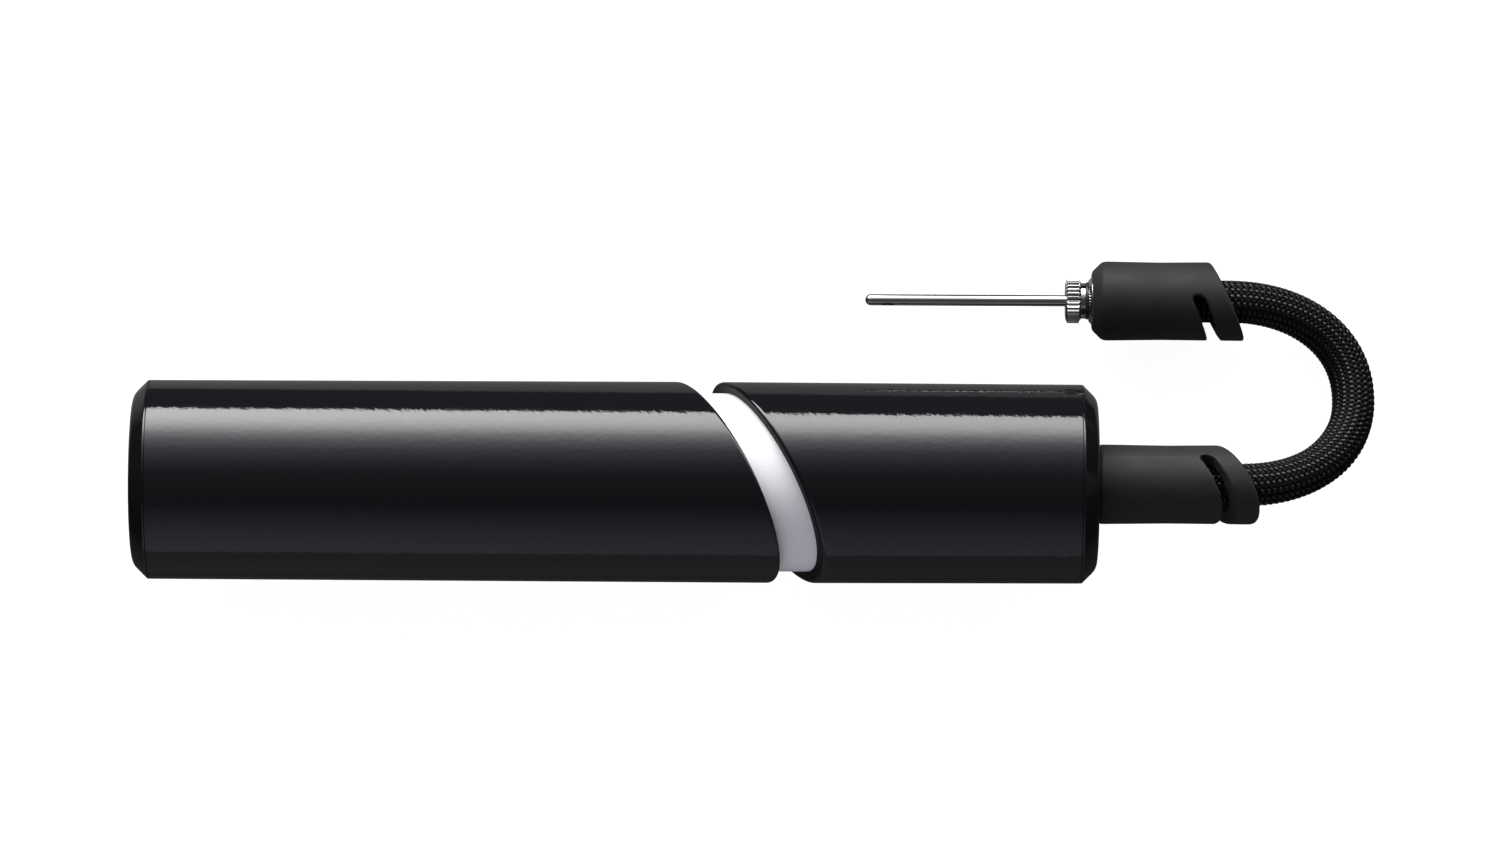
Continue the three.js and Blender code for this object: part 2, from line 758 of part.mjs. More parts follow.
// The ball needle: a hollow tube with a domed tip and one air hole in its side.
function needleTube() {
  const end = knurlStart + needleSeat;
  const tube = turned([
    [needleTip, 0],
    ...arcProfile(needleTip + needleRadius, 0, needleRadius, 162, 90, 3),
    [end, needleRadius],
    [end, needleBore],
    [needleTip + 2 * needleRadius, needleBore],
    [needleTip + 2 * needleRadius, 0],
  ], 16);
  const half = airHoleWidth / 2;
  const near = needleTip + airHoleInset + half;
  const far = near + airHoleLength - airHoleWidth;
  const shape = new THREE.Shape();
  shape.absarc(far, 0, half, -Math.PI / 2, Math.PI / 2, false);
  shape.absarc(near, 0, half, Math.PI / 2, (3 * Math.PI) / 2, false);
  const options = { depth: 2 * needleRadius, bevelEnabled: false, curveSegments: 6 };
  const hole = new THREE.ExtrudeGeometry(shape, options).rotateX(radians(airHoleTurn));
  return cut(tube, welded(hole));
}

// ------------------------------------------------------------------------------------- assembly

const glossBlack = new THREE.MeshStandardMaterial({ color: 0x141416, roughness: 0.12, metalness: 0 });
const glossWhite = new THREE.MeshStandardMaterial({ color: 0xf2f2f4, roughness: 0.25, metalness: 0 });
const innerPlastic = new THREE.MeshStandardMaterial({ color: 0x3a3c40, roughness: 0.5, metalness: 0 });
const bootRubber = new THREE.MeshStandardMaterial({ color: 0x2b2d2e, roughness: 0.7, metalness: 0 });
const sealRubber = new THREE.MeshStandardMaterial({ color: 0x1a1a1a, roughness: 0.6, metalness: 0 });
const hoseBraid = new THREE.MeshStandardMaterial({ color: 0x1c1c1d, roughness: 0.8, metalness: 0 });
const nickel = new THREE.MeshStandardMaterial({ color: 0xd2d0cc, roughness: 0.12, metalness: 1 });
const brass = new THREE.MeshStandardMaterial({ color: 0xb8923f, roughness: 0.3, metalness: 1 });
const steel = new THREE.MeshStandardMaterial({ color: 0x9a9da0, roughness: 0.3, metalness: 1 });

function add(group, name, geometry, material) {
  const mesh = new THREE.Mesh(geometry, material);
  mesh.name = name;
  geometry.computeVertexNormals();
  group.add(mesh);
}

const pump = new THREE.Group();
pump.position.set(0, 0, axisHeight);
add(pump, 'handle_sleeve', handleSleeve(), glossBlack);
add(pump, 'handle_end_cap', handleEndCap(), glossBlack);
add(pump, 'body_shell', bodyShell(), glossBlack);
add(pump, 'body_end_cap', bodyEndCap(), glossBlack);
add(pump, 'barrel', barrel(), glossWhite);
add(pump, 'rod_guide', rodGuide(), innerPlastic);
add(pump, 'piston_rod', pistonRod(), innerPlastic);
add(pump, 'rod_screw', screw(handleFace + screwRecess - faceGap, 1), steel);
add(pump, 'stop_bumper', stopBumper(), sealRubber);
add(pump, 'piston', piston(), innerPlastic);
add(pump, 'piston_screw', screw(pistonFront - screwRecess + faceGap, -1), steel);
add(pump, 'piston_ring', pistonRing(), sealRubber);
add(pump, 'valve_head', valveHead(), innerPlastic);
add(pump, 'head_seal', headSeal(), sealRubber);
add(pump, 'valve_ball', valveBall(), steel);
add(pump, 'valve_spring', valveSpring(), steel);
add(pump, 'valve_retainer', valveRetainer(), brass);

const hoseGroup = new THREE.Group();
hoseGroup.position.set(hoseFace, 0, 0);
pump.add(hoseGroup);
add(hoseGroup, 'hose_washer', hoseWasher(), sealRubber);
add(hoseGroup, 'hose_fitting', hoseFitting(), brass);
add(hoseGroup, 'pump_ferrule', ferrule(hoseStart - softGap, hoseStart + ferruleLength - 1), steel);
add(hoseGroup, 'pump_boot', pumpBoot(), bootRubber);
add(hoseGroup, 'hose', hose(), hoseBraid);

const chuckGroup = new THREE.Group();
chuckGroup.position.set(chuckBase, chuckAway, -chuckDrop);
hoseGroup.add(chuckGroup);
add(chuckGroup, 'chuck_boot', chuckBoot(), bootRubber);
add(chuckGroup, 'chuck_ferrule', ferrule(chuckHoseEnd, chuckHoseEnd + ferruleLength), steel);
add(chuckGroup, 'chuck_socket', chuckSocket(), nickel);
add(chuckGroup, 'needle_washer', needleWasher(), sealRubber);
add(chuckGroup, 'needle_collar', needleCollar(), nickel);
add(chuckGroup, 'needle_tube', needleTube(), nickel);

const ballPump = new THREE.Group();
ballPump.add(pump);
export default ballPump;
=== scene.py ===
import math

import bmesh
import bpy
import numpy as np
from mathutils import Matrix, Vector


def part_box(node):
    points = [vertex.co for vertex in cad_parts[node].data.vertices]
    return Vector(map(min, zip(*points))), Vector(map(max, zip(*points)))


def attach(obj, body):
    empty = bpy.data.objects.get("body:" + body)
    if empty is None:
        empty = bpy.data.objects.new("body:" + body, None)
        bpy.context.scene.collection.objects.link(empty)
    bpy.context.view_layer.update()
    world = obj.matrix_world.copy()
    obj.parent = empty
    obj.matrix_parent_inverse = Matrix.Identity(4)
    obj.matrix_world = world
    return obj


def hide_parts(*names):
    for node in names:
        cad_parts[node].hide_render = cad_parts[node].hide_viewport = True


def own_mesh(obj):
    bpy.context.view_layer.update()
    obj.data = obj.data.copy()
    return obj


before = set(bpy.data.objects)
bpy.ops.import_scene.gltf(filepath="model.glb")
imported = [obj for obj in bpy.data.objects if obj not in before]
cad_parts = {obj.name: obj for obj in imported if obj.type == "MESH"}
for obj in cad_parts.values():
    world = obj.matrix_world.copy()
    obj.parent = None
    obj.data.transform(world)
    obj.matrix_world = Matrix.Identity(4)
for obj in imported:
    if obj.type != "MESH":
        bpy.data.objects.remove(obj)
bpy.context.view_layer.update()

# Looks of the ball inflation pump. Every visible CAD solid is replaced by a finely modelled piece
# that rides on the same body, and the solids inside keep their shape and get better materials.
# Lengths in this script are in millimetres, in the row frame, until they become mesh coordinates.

MM = 0.001


def low(node):
    return np.array(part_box(node)[0]) / MM


def high(node):
    return np.array(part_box(node)[1]) / MM


# ------------------------------------------------------------------------------- sizes and places

AXIS_Z = (low("handle_sleeve")[2] + high("handle_sleeve")[2]) / 2
HANDLE_FACE = low("handle_end_cap")[0]
HOSE_FACE = high("body_end_cap")[0]
PUMP_RADIUS = high("handle_sleeve")[2] - AXIS_Z
BARREL_RADIUS = high("barrel")[2] - AXIS_Z
BARREL_START, BARREL_END = low("barrel")[0], high("barrel")[0]
SLEEVE_BORE = BARREL_RADIUS + 0.08
BARREL_WALL = 1.6
SLEEVE_DRAFT = 0.15
END_RADIUS = PUMP_RADIUS - SLEEVE_DRAFT
LIP, MOUTH_EDGE = 0.7, 0.12
HANDLE_MOUTH = HANDLE_FACE + 103.7
SEAM_GAP = 7.2
SEAM_TILT, SEAM_TURN = 29.7, 38.0
CAP_RIM, CAP_BEVEL, CAP_EASE, CAP_WALL, CAP_FACE = 2.9, 2.4, 0.4, 1.8, 2.4
CAP_SPIGOT = 4.6
FOOT_RADIUS, FOOT_FLOOR, FOOT_LENGTH = 6.0, 5.0, 4.0
SCREW_RADIUS, SCREW_HEAD, SCREW_HEIGHT = 1.8, 3.8, 2.5

FINE, ROUND, SMALL = 256, 192, 96  # facets round the sleeves, the caps and barrel, and the fittings

PORT_RADIUS, PORT_BOSS = 4.1, 6.8
SHANK = HOSE_FACE - low("hose_fitting")[0]
FLANGE_RADIUS, FLANGE_THICK, TAIL_RADIUS, TAIL_LENGTH = 5.5, 3.2, 3.4, 1.2
AIRWAY = 1.4
THREAD_PITCH = 1.0
ORING_SECTION, ORING_MIDDLE = 1.4, 4.75

HOSE_RADIUS = 3.8
BOOT_RADIUS, BOOT_WAIST, BOOT_LENGTH = 7.0, 6.85, 24.0
BOOT_GAP, BOOT_BORE, BOOT_FLARE, BOOT_LIP = 0.3, 4.1, 0.7, 0.5
SLOT_WIDTH, SLOT_RING = 2.4, 4.2
PUMP_BOOT_TILT, PUMP_BOOT_TURN = 31.6, 47.0
CHUCK_BOOT_TILT, CHUCK_BOOT_TURN = 23.9, 5.0
HOSE_TURN = HOSE_FACE + BOOT_GAP + BOOT_LENGTH
HOSE_REACH, HOSE_LEAN, CHUCK_AWAY = 21.4, 1.0, 32.3
HOSE_IN_BOOT, HOSE_IN_CHUCK = 19.6, 17.3
HOSE_FULLNESS = 0.92
FERRULE_WALL, FERRULE_GAP = 0.6, 0.3
CHUCK_DROP = AXIS_Z - BOOT_RADIUS - 0.05
HOSE_SAG = 1.2 * (AXIS_Z - HOSE_RADIUS - 0.75 * CHUCK_DROP)
CHUCK_BASE = low("chuck_boot")[0]

PUMP_AXIS = np.array([0.0, 0.0, AXIS_Z])
CHUCK_AXIS = np.array([0.0, CHUCK_AWAY, AXIS_Z - CHUCK_DROP])

KNURL_START = low("needle_collar")[0]
THREAD_END = high("needle_collar")[0]
NEEDLE_TIP = low("needle_tube")[0]
NEEDLE_END = high("needle_tube")[0]
KNURL_LENGTH, KNURL_RADIUS, KNURL_DEPTH, KNURL_COUNT = 2.7, 3.95, 0.35, 30
NECK_RADIUS, NEEDLE_THREAD = 3.15, 2.9
NEEDLE_RADIUS, NEEDLE_BORE = 1.0, 0.6
AIR_HOLE_START, AIR_HOLE_LENGTH, AIR_HOLE_WIDTH, AIR_HOLE_TURN = 3.0, 2.0, 0.8, 55.0
GASKET_RADIUS = 3.3
WASHER_START, WASHER_END = low("needle_washer")[0], high("needle_washer")[0]
SOCKET_FACE, SOCKET_END = low("chuck_socket")[0], high("chuck_socket")[0]
SOCKET_RADIUS, SOCKET_RIM, SOCKET_MOUTH, SOCKET_STEP = 5.4, 4.2, 3.6, 3.25

SPRING_WIRE, SPRING_TURNS, VALVE_LIFT = 0.2, 6, 1.2


# ------------------------------------------------------------------------------------- mesh tools

def rounded(corners, steps=5, closed=True):
    """A section's corners as (x, radius, fillet): its outline with each fillet as an arc, and a
    point close to both ends of every arc so that the flats beside it stay flat in the shading."""
    out = []
    count = len(corners)
    for i, (x, r, fillet) in enumerate(corners):
        p = np.array([x, r], float)
        if fillet <= 0 or (not closed and i in (0, count - 1)):
            out.append(p)
            continue
        before = np.array(corners[i - 1][:2], float) - p
        after = np.array(corners[(i + 1) % count][:2], float) - p
        u, v = before / np.linalg.norm(before), after / np.linalg.norm(after)
        half = math.acos(np.clip(u @ v, -1, 1)) / 2
        reach = min(fillet / math.tan(half), 0.48 * min(np.linalg.norm(before), np.linalg.norm(after)))
        size = reach * math.tan(half)
        middle = p + (u + v) / np.linalg.norm(u + v) * size / math.sin(half)
        a, b = p + u * reach, p + v * reach
        t0, t1 = (math.atan2(*(q - middle)[::-1]) for q in (a, b))
        turn = (t1 - t0 + math.pi) % (2 * math.pi) - math.pi
        support = 0.04 * reach
        out.append(a + u * support)
        for k in range(steps + 1):
            t = t0 + turn * k / steps
            out.append(middle + size * np.array([math.cos(t), math.sin(t)]))
        out.append(b + v * support)
    return np.array(out)


def revolved(profile, segments=160, closed=True, radius=None):
    """Turns an outline of (x, radius) about the X axis. radius(ring, r, angles) may vary a ring's
    radius round the turn. A point on the axis becomes one vertex."""
    verts, rings = [], []
    angles = np.arange(segments) * 2 * math.pi / segments
    for k, (x, r) in enumerate(profile):
        if r < 1e-6:
            rings.append([len(verts)] * segments)
            verts.append((x, 0.0, 0.0))
            continue
        rr = np.full(segments, r) if radius is None else radius(k, x, r, angles)
        rings.append(list(range(len(verts), len(verts) + segments)))
        verts.extend(zip(np.full(segments, x), rr * np.cos(angles), rr * np.sin(angles)))
    faces = []
    pairs = list(zip(rings, rings[1:])) + ([(rings[-1], rings[0])] if closed else [])
    for a, b in pairs:
        for j in range(segments):
            n = (j + 1) % segments
            face = []
            for index in (a[j], a[n], b[n], b[j]):
                if index not in face:
                    face.append(index)
            if len(face) > 2:
                faces.append(face)
    return np.array(verts, float), faces


def lean(verts, tilt, turn, chosen):
    """Leans a square end: chosen points move along X by how far they lie on the turned side."""
    slope = math.tan(math.radians(tilt))
    reach = math.sin(math.radians(turn)) * verts[:, 2] - math.cos(math.radians(turn)) * verts[:, 1]
    verts = verts.copy()
    verts[:, 0] += np.where(chosen(verts[:, 0]), slope * reach, 0)
    return verts


def thread_radius(pitch, depth, start, end):
    """A function for revolved(): a right-hand thread cut between two places along X."""
    crest, steepness = 1.5, 4.2

    def radius(k, x, r, angles):
        if not start < x < end:
            return np.full(len(angles), r)
        phase = (x / pitch - angles / (2 * math.pi)) % 1.0
        valley = np.clip(crest - steepness * np.abs(phase - 0.5), 0, 1)
        fade = min(1.0, (x - start) / pitch, (end - x) / pitch)
        return r - depth * fade * valley
    return radius


def threaded(start, end, radius):
    """The points along a threaded stretch, close enough together to show its thread."""
    rings_per_turn = 12
    count = int((end - start) / THREAD_PITCH * rings_per_turn)
    return [(start + (end - start) * k / count, radius) for k in range(count + 1)]


def mesh_object(name, verts, faces, origin=PUMP_AXIS, smooth=math.radians(40), uvs=None):
    mesh = bpy.data.meshes.new(name)
    mesh.from_pydata(((verts + origin) * MM).tolist(), [], faces)
    if uvs is not None:
        layer = mesh.uv_layers.new(name="detail")
        layer.data.foreach_set("uv", np.asarray(uvs, np.float32).ravel())
    bm = bmesh.new()
    bm.from_mesh(mesh)
    bmesh.ops.recalc_face_normals(bm, faces=bm.faces)
    bm.to_mesh(mesh)
    bm.free()
    mesh.shade_smooth()
    if smooth:
        mesh.set_sharp_from_angle(angle=smooth)
    obj = bpy.data.objects.new(name, mesh)
    bpy.context.scene.collection.objects.link(obj)
    return obj


def applied(obj):
    """Makes an object's modifiers part of its mesh."""
    graph = bpy.context.evaluated_depsgraph_get()
    mesh = bpy.data.meshes.new_from_object(obj.evaluated_get(graph))
    obj.modifiers.clear()
    old = obj.data
    obj.data = mesh
    bpy.data.meshes.remove(old)
    return obj


def cut_by(obj, cutter):
    cut = obj.modifiers.new("cut", "BOOLEAN")
    cut.operation = "DIFFERENCE"
    cut.solver = "EXACT"
    cut.object = cutter
    applied(obj)
    bpy.data.objects.remove(cutter)
    return obj


def finished(obj, material, slot, body, *nodes):
    obj.data.materials.clear()
    obj.data.materials.append(material)
    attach(obj, body)
    if nodes:
        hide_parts(*nodes)
    return obj


# -------------------------------------------------------------------------------------- materials

class Shader:
    """A node material under construction: a Principled shader and short ways to feed it."""

    def __init__(self, name, color, roughness, **values):
        self.material = bpy.data.materials.new(name)
        self.material.use_nodes = True
        self.tree = self.material.node_tree
        self.bsdf = self.tree.nodes["Principled BSDF"]
        self.set("Base Color", (*color, 1))
        self.set("Roughness", roughness)
        for key, value in values.items():
            self.set(key.replace("_", " "), value)
        self.place = self.node("ShaderNodeTexCoord").outputs["Object"]
        self.height = None

    def set(self, socket, value):
        self.bsdf.inputs[socket].default_value = value

    def node(self, kind, inputs=(), **settings):
        made = self.tree.nodes.new(kind)
        for key, value in settings.items():
            setattr(made, key, value)
        for key, value in dict(inputs).items():
            if isinstance(value, bpy.types.NodeSocket):
                self.tree.links.new(value, made.inputs[key])
            else:
                made.inputs[key].default_value = value
        return made

    def link(self, value, socket):
        self.tree.links.new(value, self.bsdf.inputs[socket])

    def noise(self, size, detail=3, stretch=(1, 1, 1), rough=0.5):
        """Noise with patches about `size` millimetres across, longer where stretch is over 1."""
        scale = [1000.0 / size / s for s in stretch]
        place = self.node("ShaderNodeMapping", {"Vector": self.place, "Scale": scale}).outputs[0]
        settings = {"Vector": place, "Scale": 1.0, "Detail": detail, "Roughness": rough}
        return self.node("ShaderNodeTexNoise", settings).outputs["Fac"]

    def ramp(self, value, low_in, high_in, low_out=0.0, high_out=1.0):
        inputs = {"Value": value, "From Min": low_in, "From Max": high_in,
                  "To Min": low_out, "To Max": high_out}
        return self.node("ShaderNodeMapRange", inputs).outputs[0]

    def math(self, operation, a, b=0.0, c=0.0):
        made = self.node("ShaderNodeMath", operation=operation)
        for k, value in enumerate((a, b, c)):
            if isinstance(value, bpy.types.NodeSocket):
                self.tree.links.new(value, made.inputs[k])
            else:
                made.inputs[k].default_value = value
        return made.outputs[0]

    def mix(self, fac, a, b):
        made = self.node("ShaderNodeMix", data_type="RGBA")
        for key, value in ((0, fac), (6, a), (7, b)):
            if isinstance(value, bpy.types.NodeSocket):
                self.tree.links.new(value, made.inputs[key])
            else:
                made.inputs[key].default_value = value if key == 0 else (*value, 1)
        return made.outputs[2]

    def bump(self, height, depth, strength=1.0):
        """Adds a relief `depth` millimetres deep where the height runs from 0 to 1."""
        inputs = {"Strength": strength, "Distance": depth * MM, "Height": height}
        if self.height is not None:
            inputs["Normal"] = self.height
        self.height = self.node("ShaderNodeBump", inputs).outputs[0]
        self.link(self.height, "Normal")

    def edges(self, low_in=0.52, high_in=0.6):
        """1 along sharp outer edges, where handling wears a surface, and 0 on flats."""
        pointiness = self.node("ShaderNodeNewGeometry").outputs["Pointiness"]
        return self.ramp(pointiness, low_in, high_in)


def gloss_black():
    """Polished outside. A sleeve's cut mouth, where u is 1, is left dull. Caps have no u."""
    dark, rubbed, dull = (0.0058, 0.0058, 0.0070), (0.02, 0.02, 0.022), (0.013, 0.0135, 0.013)
    s = Shader("gloss_black_abs", dark, 0.05, Specular_IOR_Level=0.5, IOR=1.5)
    dust = s.ramp(s.noise(9, 5), 0.45, 0.75)
    hair = s.ramp(s.noise(0.5, 2, (30, 1, 1)), 0.62, 0.8)
    smudge = s.math("ADD", s.math("MULTIPLY", dust, 0.035), s.math("MULTIPLY", hair, 0.05))
    worn = s.edges()
    polish = s.math("ADD", s.math("ADD", smudge, s.math("MULTIPLY", worn, 0.1)), 0.045)
    shade = s.mix(s.math("MULTIPLY", worn, 0.3), dark, rubbed)
    uv = s.node("ShaderNodeUVMap", uv_map="detail").outputs[0]
    mouth = s.node("ShaderNodeSeparateXYZ", {"Vector": uv}).outputs["X"]
    s.link(s.math("MULTIPLY_ADD", mouth, 0.5, polish), "Roughness")
    s.link(s.ramp(mouth, 0.0, 1.0, 0.5, 0.1), "Specular IOR Level")
    s.link(s.mix(mouth, shade, dull), "Base Color")
    s.bump(s.noise(16, 1, (2.2, 1, 1)), 0.035)
    s.bump(s.noise(2.1, 2, (1.3, 1, 1)), 0.014)
    s.bump(s.noise(0.9, 2), 0.018)
    return s


def satin_white():
    s = Shader("satin_white_abs", (0.76, 0.763, 0.77), 0.22, Specular_IOR_Level=0.4,
               Subsurface_Weight=0.06, Subsurface_Radius=(0.001, 0.001, 0.0009))
    rubbed = s.ramp(s.noise(0.35, 3, (40, 1, 1)), 0.5, 0.78)
    film = s.ramp(s.noise(6, 4, (2, 1, 1)), 0.4, 0.7)
    base = s.math("MULTIPLY_ADD", film, 0.06, 0.2)
    s.link(s.math("ADD", s.math("MULTIPLY", rubbed, 0.16), base), "Roughness")
    s.link(s.mix(s.math("MULTIPLY", rubbed, 0.35), (0.768, 0.77, 0.778), (0.7, 0.703, 0.712)), "Base Color")
    s.bump(rubbed, 0.004, 0.6)
    s.bump(s.noise(14, 1, (2, 1, 1)), 0.02)
    return s


def boot_rubber():
    s = Shader("matte_rubber", (0.01, 0.0107, 0.0109), 0.62, Specular_IOR_Level=0.25,
               Sheen_Weight=0.02, Sheen_Roughness=0.6)
    bloom = s.ramp(s.noise(5, 5), 0.35, 0.75)
    specks = s.ramp(s.noise(0.22, 2), 0.66, 0.8)
    worn = s.edges(0.52, 0.62)
    dust = s.math("MULTIPLY_ADD", bloom, 0.35, s.math("MULTIPLY", specks, 0.35))
    s.link(s.mix(dust, (0.009, 0.0097, 0.0099), (0.0165, 0.0175, 0.0175)), "Base Color")
    s.link(s.math("MULTIPLY_ADD", bloom, 0.16, s.math("MULTIPLY_ADD", worn, -0.12, 0.56)), "Roughness")
    s.bump(s.noise(0.16, 3), 0.012, 0.8)
    s.bump(s.noise(2.6, 3), 0.02, 0.6)
    return s


def seal_rubber():
    s = Shader("greased_nitrile", (0.012, 0.012, 0.0125), 0.3, Specular_IOR_Level=0.5)
    film = s.ramp(s.noise(1.6, 4), 0.4, 0.65)
    s.link(s.math("MULTIPLY_ADD", film, 0.28, 0.2), "Roughness")
    s.link(s.mix(film, (0.011, 0.011, 0.011), (0.02, 0.02, 0.021)), "Base Color")
    s.bump(s.noise(0.3, 2), 0.006)
    return s


def inner_plastic():
    s = Shader("moulded_nylon", (0.05, 0.052, 0.056), 0.5)
    flow = s.ramp(s.noise(3.5, 5, (3, 1, 1)), 0.35, 0.7)
    s.link(s.mix(flow, (0.043, 0.045, 0.049), (0.062, 0.064, 0.068)), "Base Color")
    s.link(s.math("MULTIPLY_ADD", flow, 0.14, 0.42), "Roughness")
    s.bump(s.noise(0.25, 2), 0.01, 0.6)
    return s


def nickel():
    s = Shader("bright_nickel_plate", (0.67, 0.655, 0.62), 0.06, Metallic=1.0)
    haze = s.ramp(s.noise(1.8, 5, (2.5, 1, 1)), 0.4, 0.72)
    scratch = s.ramp(s.noise(0.12, 2, (1, 6, 6)), 0.62, 0.78)
    base = s.math("MULTIPLY_ADD", haze, 0.06, 0.04)
    s.link(s.math("ADD", base, s.math("MULTIPLY", scratch, 0.07)), "Roughness")
    s.link(s.mix(haze, (0.68, 0.665, 0.63), (0.57, 0.555, 0.51)), "Base Color")
    s.bump(scratch, 0.0007, 0.5)
    return s


def turned_metal(name, light, dark, roughness):
    s = Shader(name, light, roughness, Metallic=1.0)
    stain = s.ramp(s.noise(2.2, 5), 0.4, 0.7)
    rings = s.noise(0.09, 2, (1, 60, 60))
    s.link(s.mix(stain, light, dark), "Base Color")
    s.link(s.math("MULTIPLY_ADD", stain, 0.18, roughness), "Roughness")
    s.bump(rings, 0.003, 0.7)
    return s


def braid_yarn():
    """Yarns laid one way are shinier than those laid the other way, whose u starts at 4 and whose base
    colour is painted darker, as painted shade.
    """
    s = Shader("braided_nylon", (0.004, 0.004, 0.0043), 0.3, Specular_IOR_Level=0.25)
    uv = s.node("ShaderNodeUVMap", uv_map="detail").outputs[0]
    across = s.node("ShaderNodeSeparateXYZ", {"Vector": uv}).outputs["X"]
    # 1 on the yarns laid the other way: rougher and less specular, and their base colour is painted darker
    #                                    as painted shade
    dull = s.ramp(across, 3.0, 3.5)
    place = {"Vector": uv, "Scale": (7.0, 0.5, 1.0)}
    lengthwise = s.node("ShaderNodeMapping", place).outputs[0]
    strands = {"Vector": lengthwise, "Scale": 2.2, "Detail": 2.0}
    filament = s.node("ShaderNodeTexNoise", strands).outputs["Fac"]
    place = {"Vector": uv, "Scale": (1.0, 1.1, 1.0), "Rotation": (0, 0, 0.35)}
    twist = s.node("ShaderNodeMapping", place).outputs[0]
    waves = {"Vector": twist, "Scale": 1.3, "Distortion": 1.2}
    ply = s.node("ShaderNodeTexWave", waves, bands_direction="X").outputs["Fac"]
    shade = s.math("MULTIPLY_ADD", filament, 0.6, s.math("MULTIPLY", ply, 0.3))
    shiny = s.mix(shade, (0.0022, 0.0023, 0.0024), (0.0085, 0.0085, 0.0088))
    # painted shade: the yarns laid the other way take a darker copy of the same yarn colour
    s.link(s.mix(dull, shiny, (0.0012, 0.0013, 0.0014)), "Base Color")
    s.link(s.math("MULTIPLY_ADD", filament, 0.1, s.math("MULTIPLY_ADD", dull, 0.35, 0.15)), "Roughness")
    s.link(s.ramp(dull, 0.0, 1.0, 0.3, 0.1), "Specular IOR Level")
    s.bump(filament, 0.014, 0.8)
    s.bump(ply, 0.012, 0.7)
    return s


BLACK, WHITE, BOOT, SEAL = gloss_black(), satin_white(), boot_rubber(), seal_rubber()
NYLON, NICKEL, YARN = inner_plastic(), nickel(), braid_yarn()
BRASS = turned_metal("turned_brass", (0.72, 0.53, 0.24), (0.5, 0.34, 0.15), 0.2)
STEEL = turned_metal("zinc_plated_steel", (0.56, 0.57, 0.59), (0.42, 0.43, 0.45), 0.26)


# ------------------------------------------------------------------------------- camera and stage

def stage():
    """A camera straight above, and a pale floor that curves up into a backdrop all round. Neither
    lights the pump nor shows in its gloss, which studio_light() draws."""
    scene = bpy.context.scene
    camera = bpy.data.objects.new("camera", bpy.data.cameras.new("camera"))
    scene.collection.objects.link(camera)
    distance, middle, roll = 1500.0, (23.6, 10.6), math.radians(0.3)
    view_width = 263.1  # at the height of the pump's axis
    camera.location = Vector((*middle, AXIS_Z + distance)) * MM
    camera.rotation_euler = (0, 0, roll)
    camera.data.sensor_width = 36.0
    camera.data.lens = 36.0 * distance / view_width
    camera.data.clip_end = 20.0
    scene.camera = camera

    pale = Shader("pale_floor", (0.24, 0.24, 0.24), 0.9, Specular_IOR_Level=0.0,
                  Emission_Color=(1, 1, 1, 1), Emission_Strength=0.95)
    reach, bend, height, sides = 6.0, 0.8, 6.0, 96
    outline = [(reach - bend + bend * math.sin(t), bend - bend * math.cos(t))
               for t in np.linspace(0, math.pi / 2, 13)]
    outline.append((reach, height))
    round_angles = np.arange(sides) * 2 * math.pi / sides
    verts = [(r * math.cos(a), r * math.sin(a), z) for r, z in outline for a in round_angles]
    faces = [tuple(range(sides))]
    for k in range(len(outline) - 1):
        for n in range(sides):
            m = (n + 1) % sides
            faces.append((k * sides + n, k * sides + m, (k + 1) * sides + m, (k + 1) * sides + n))
    for name, part in (("floor", faces[:1]), ("backdrop", faces[1:])):
        mesh = bpy.data.meshes.new(name)
        mesh.from_pydata(verts[:sides] if name == "floor" else verts, [], part)
        mesh.materials.append(pale.material)
        mesh.shade_smooth()
        obj = bpy.data.objects.new(name, mesh)
        obj.visible_glossy = obj.visible_diffuse = False
        obj.visible_shadow = name == "floor"
        scene.collection.objects.link(obj)
    scene.view_settings.view_transform = "Standard"


CARD_TINT, SKY_TINT = (0.95, 0.91, 1.15), (0.97, 0.98, 1.1)


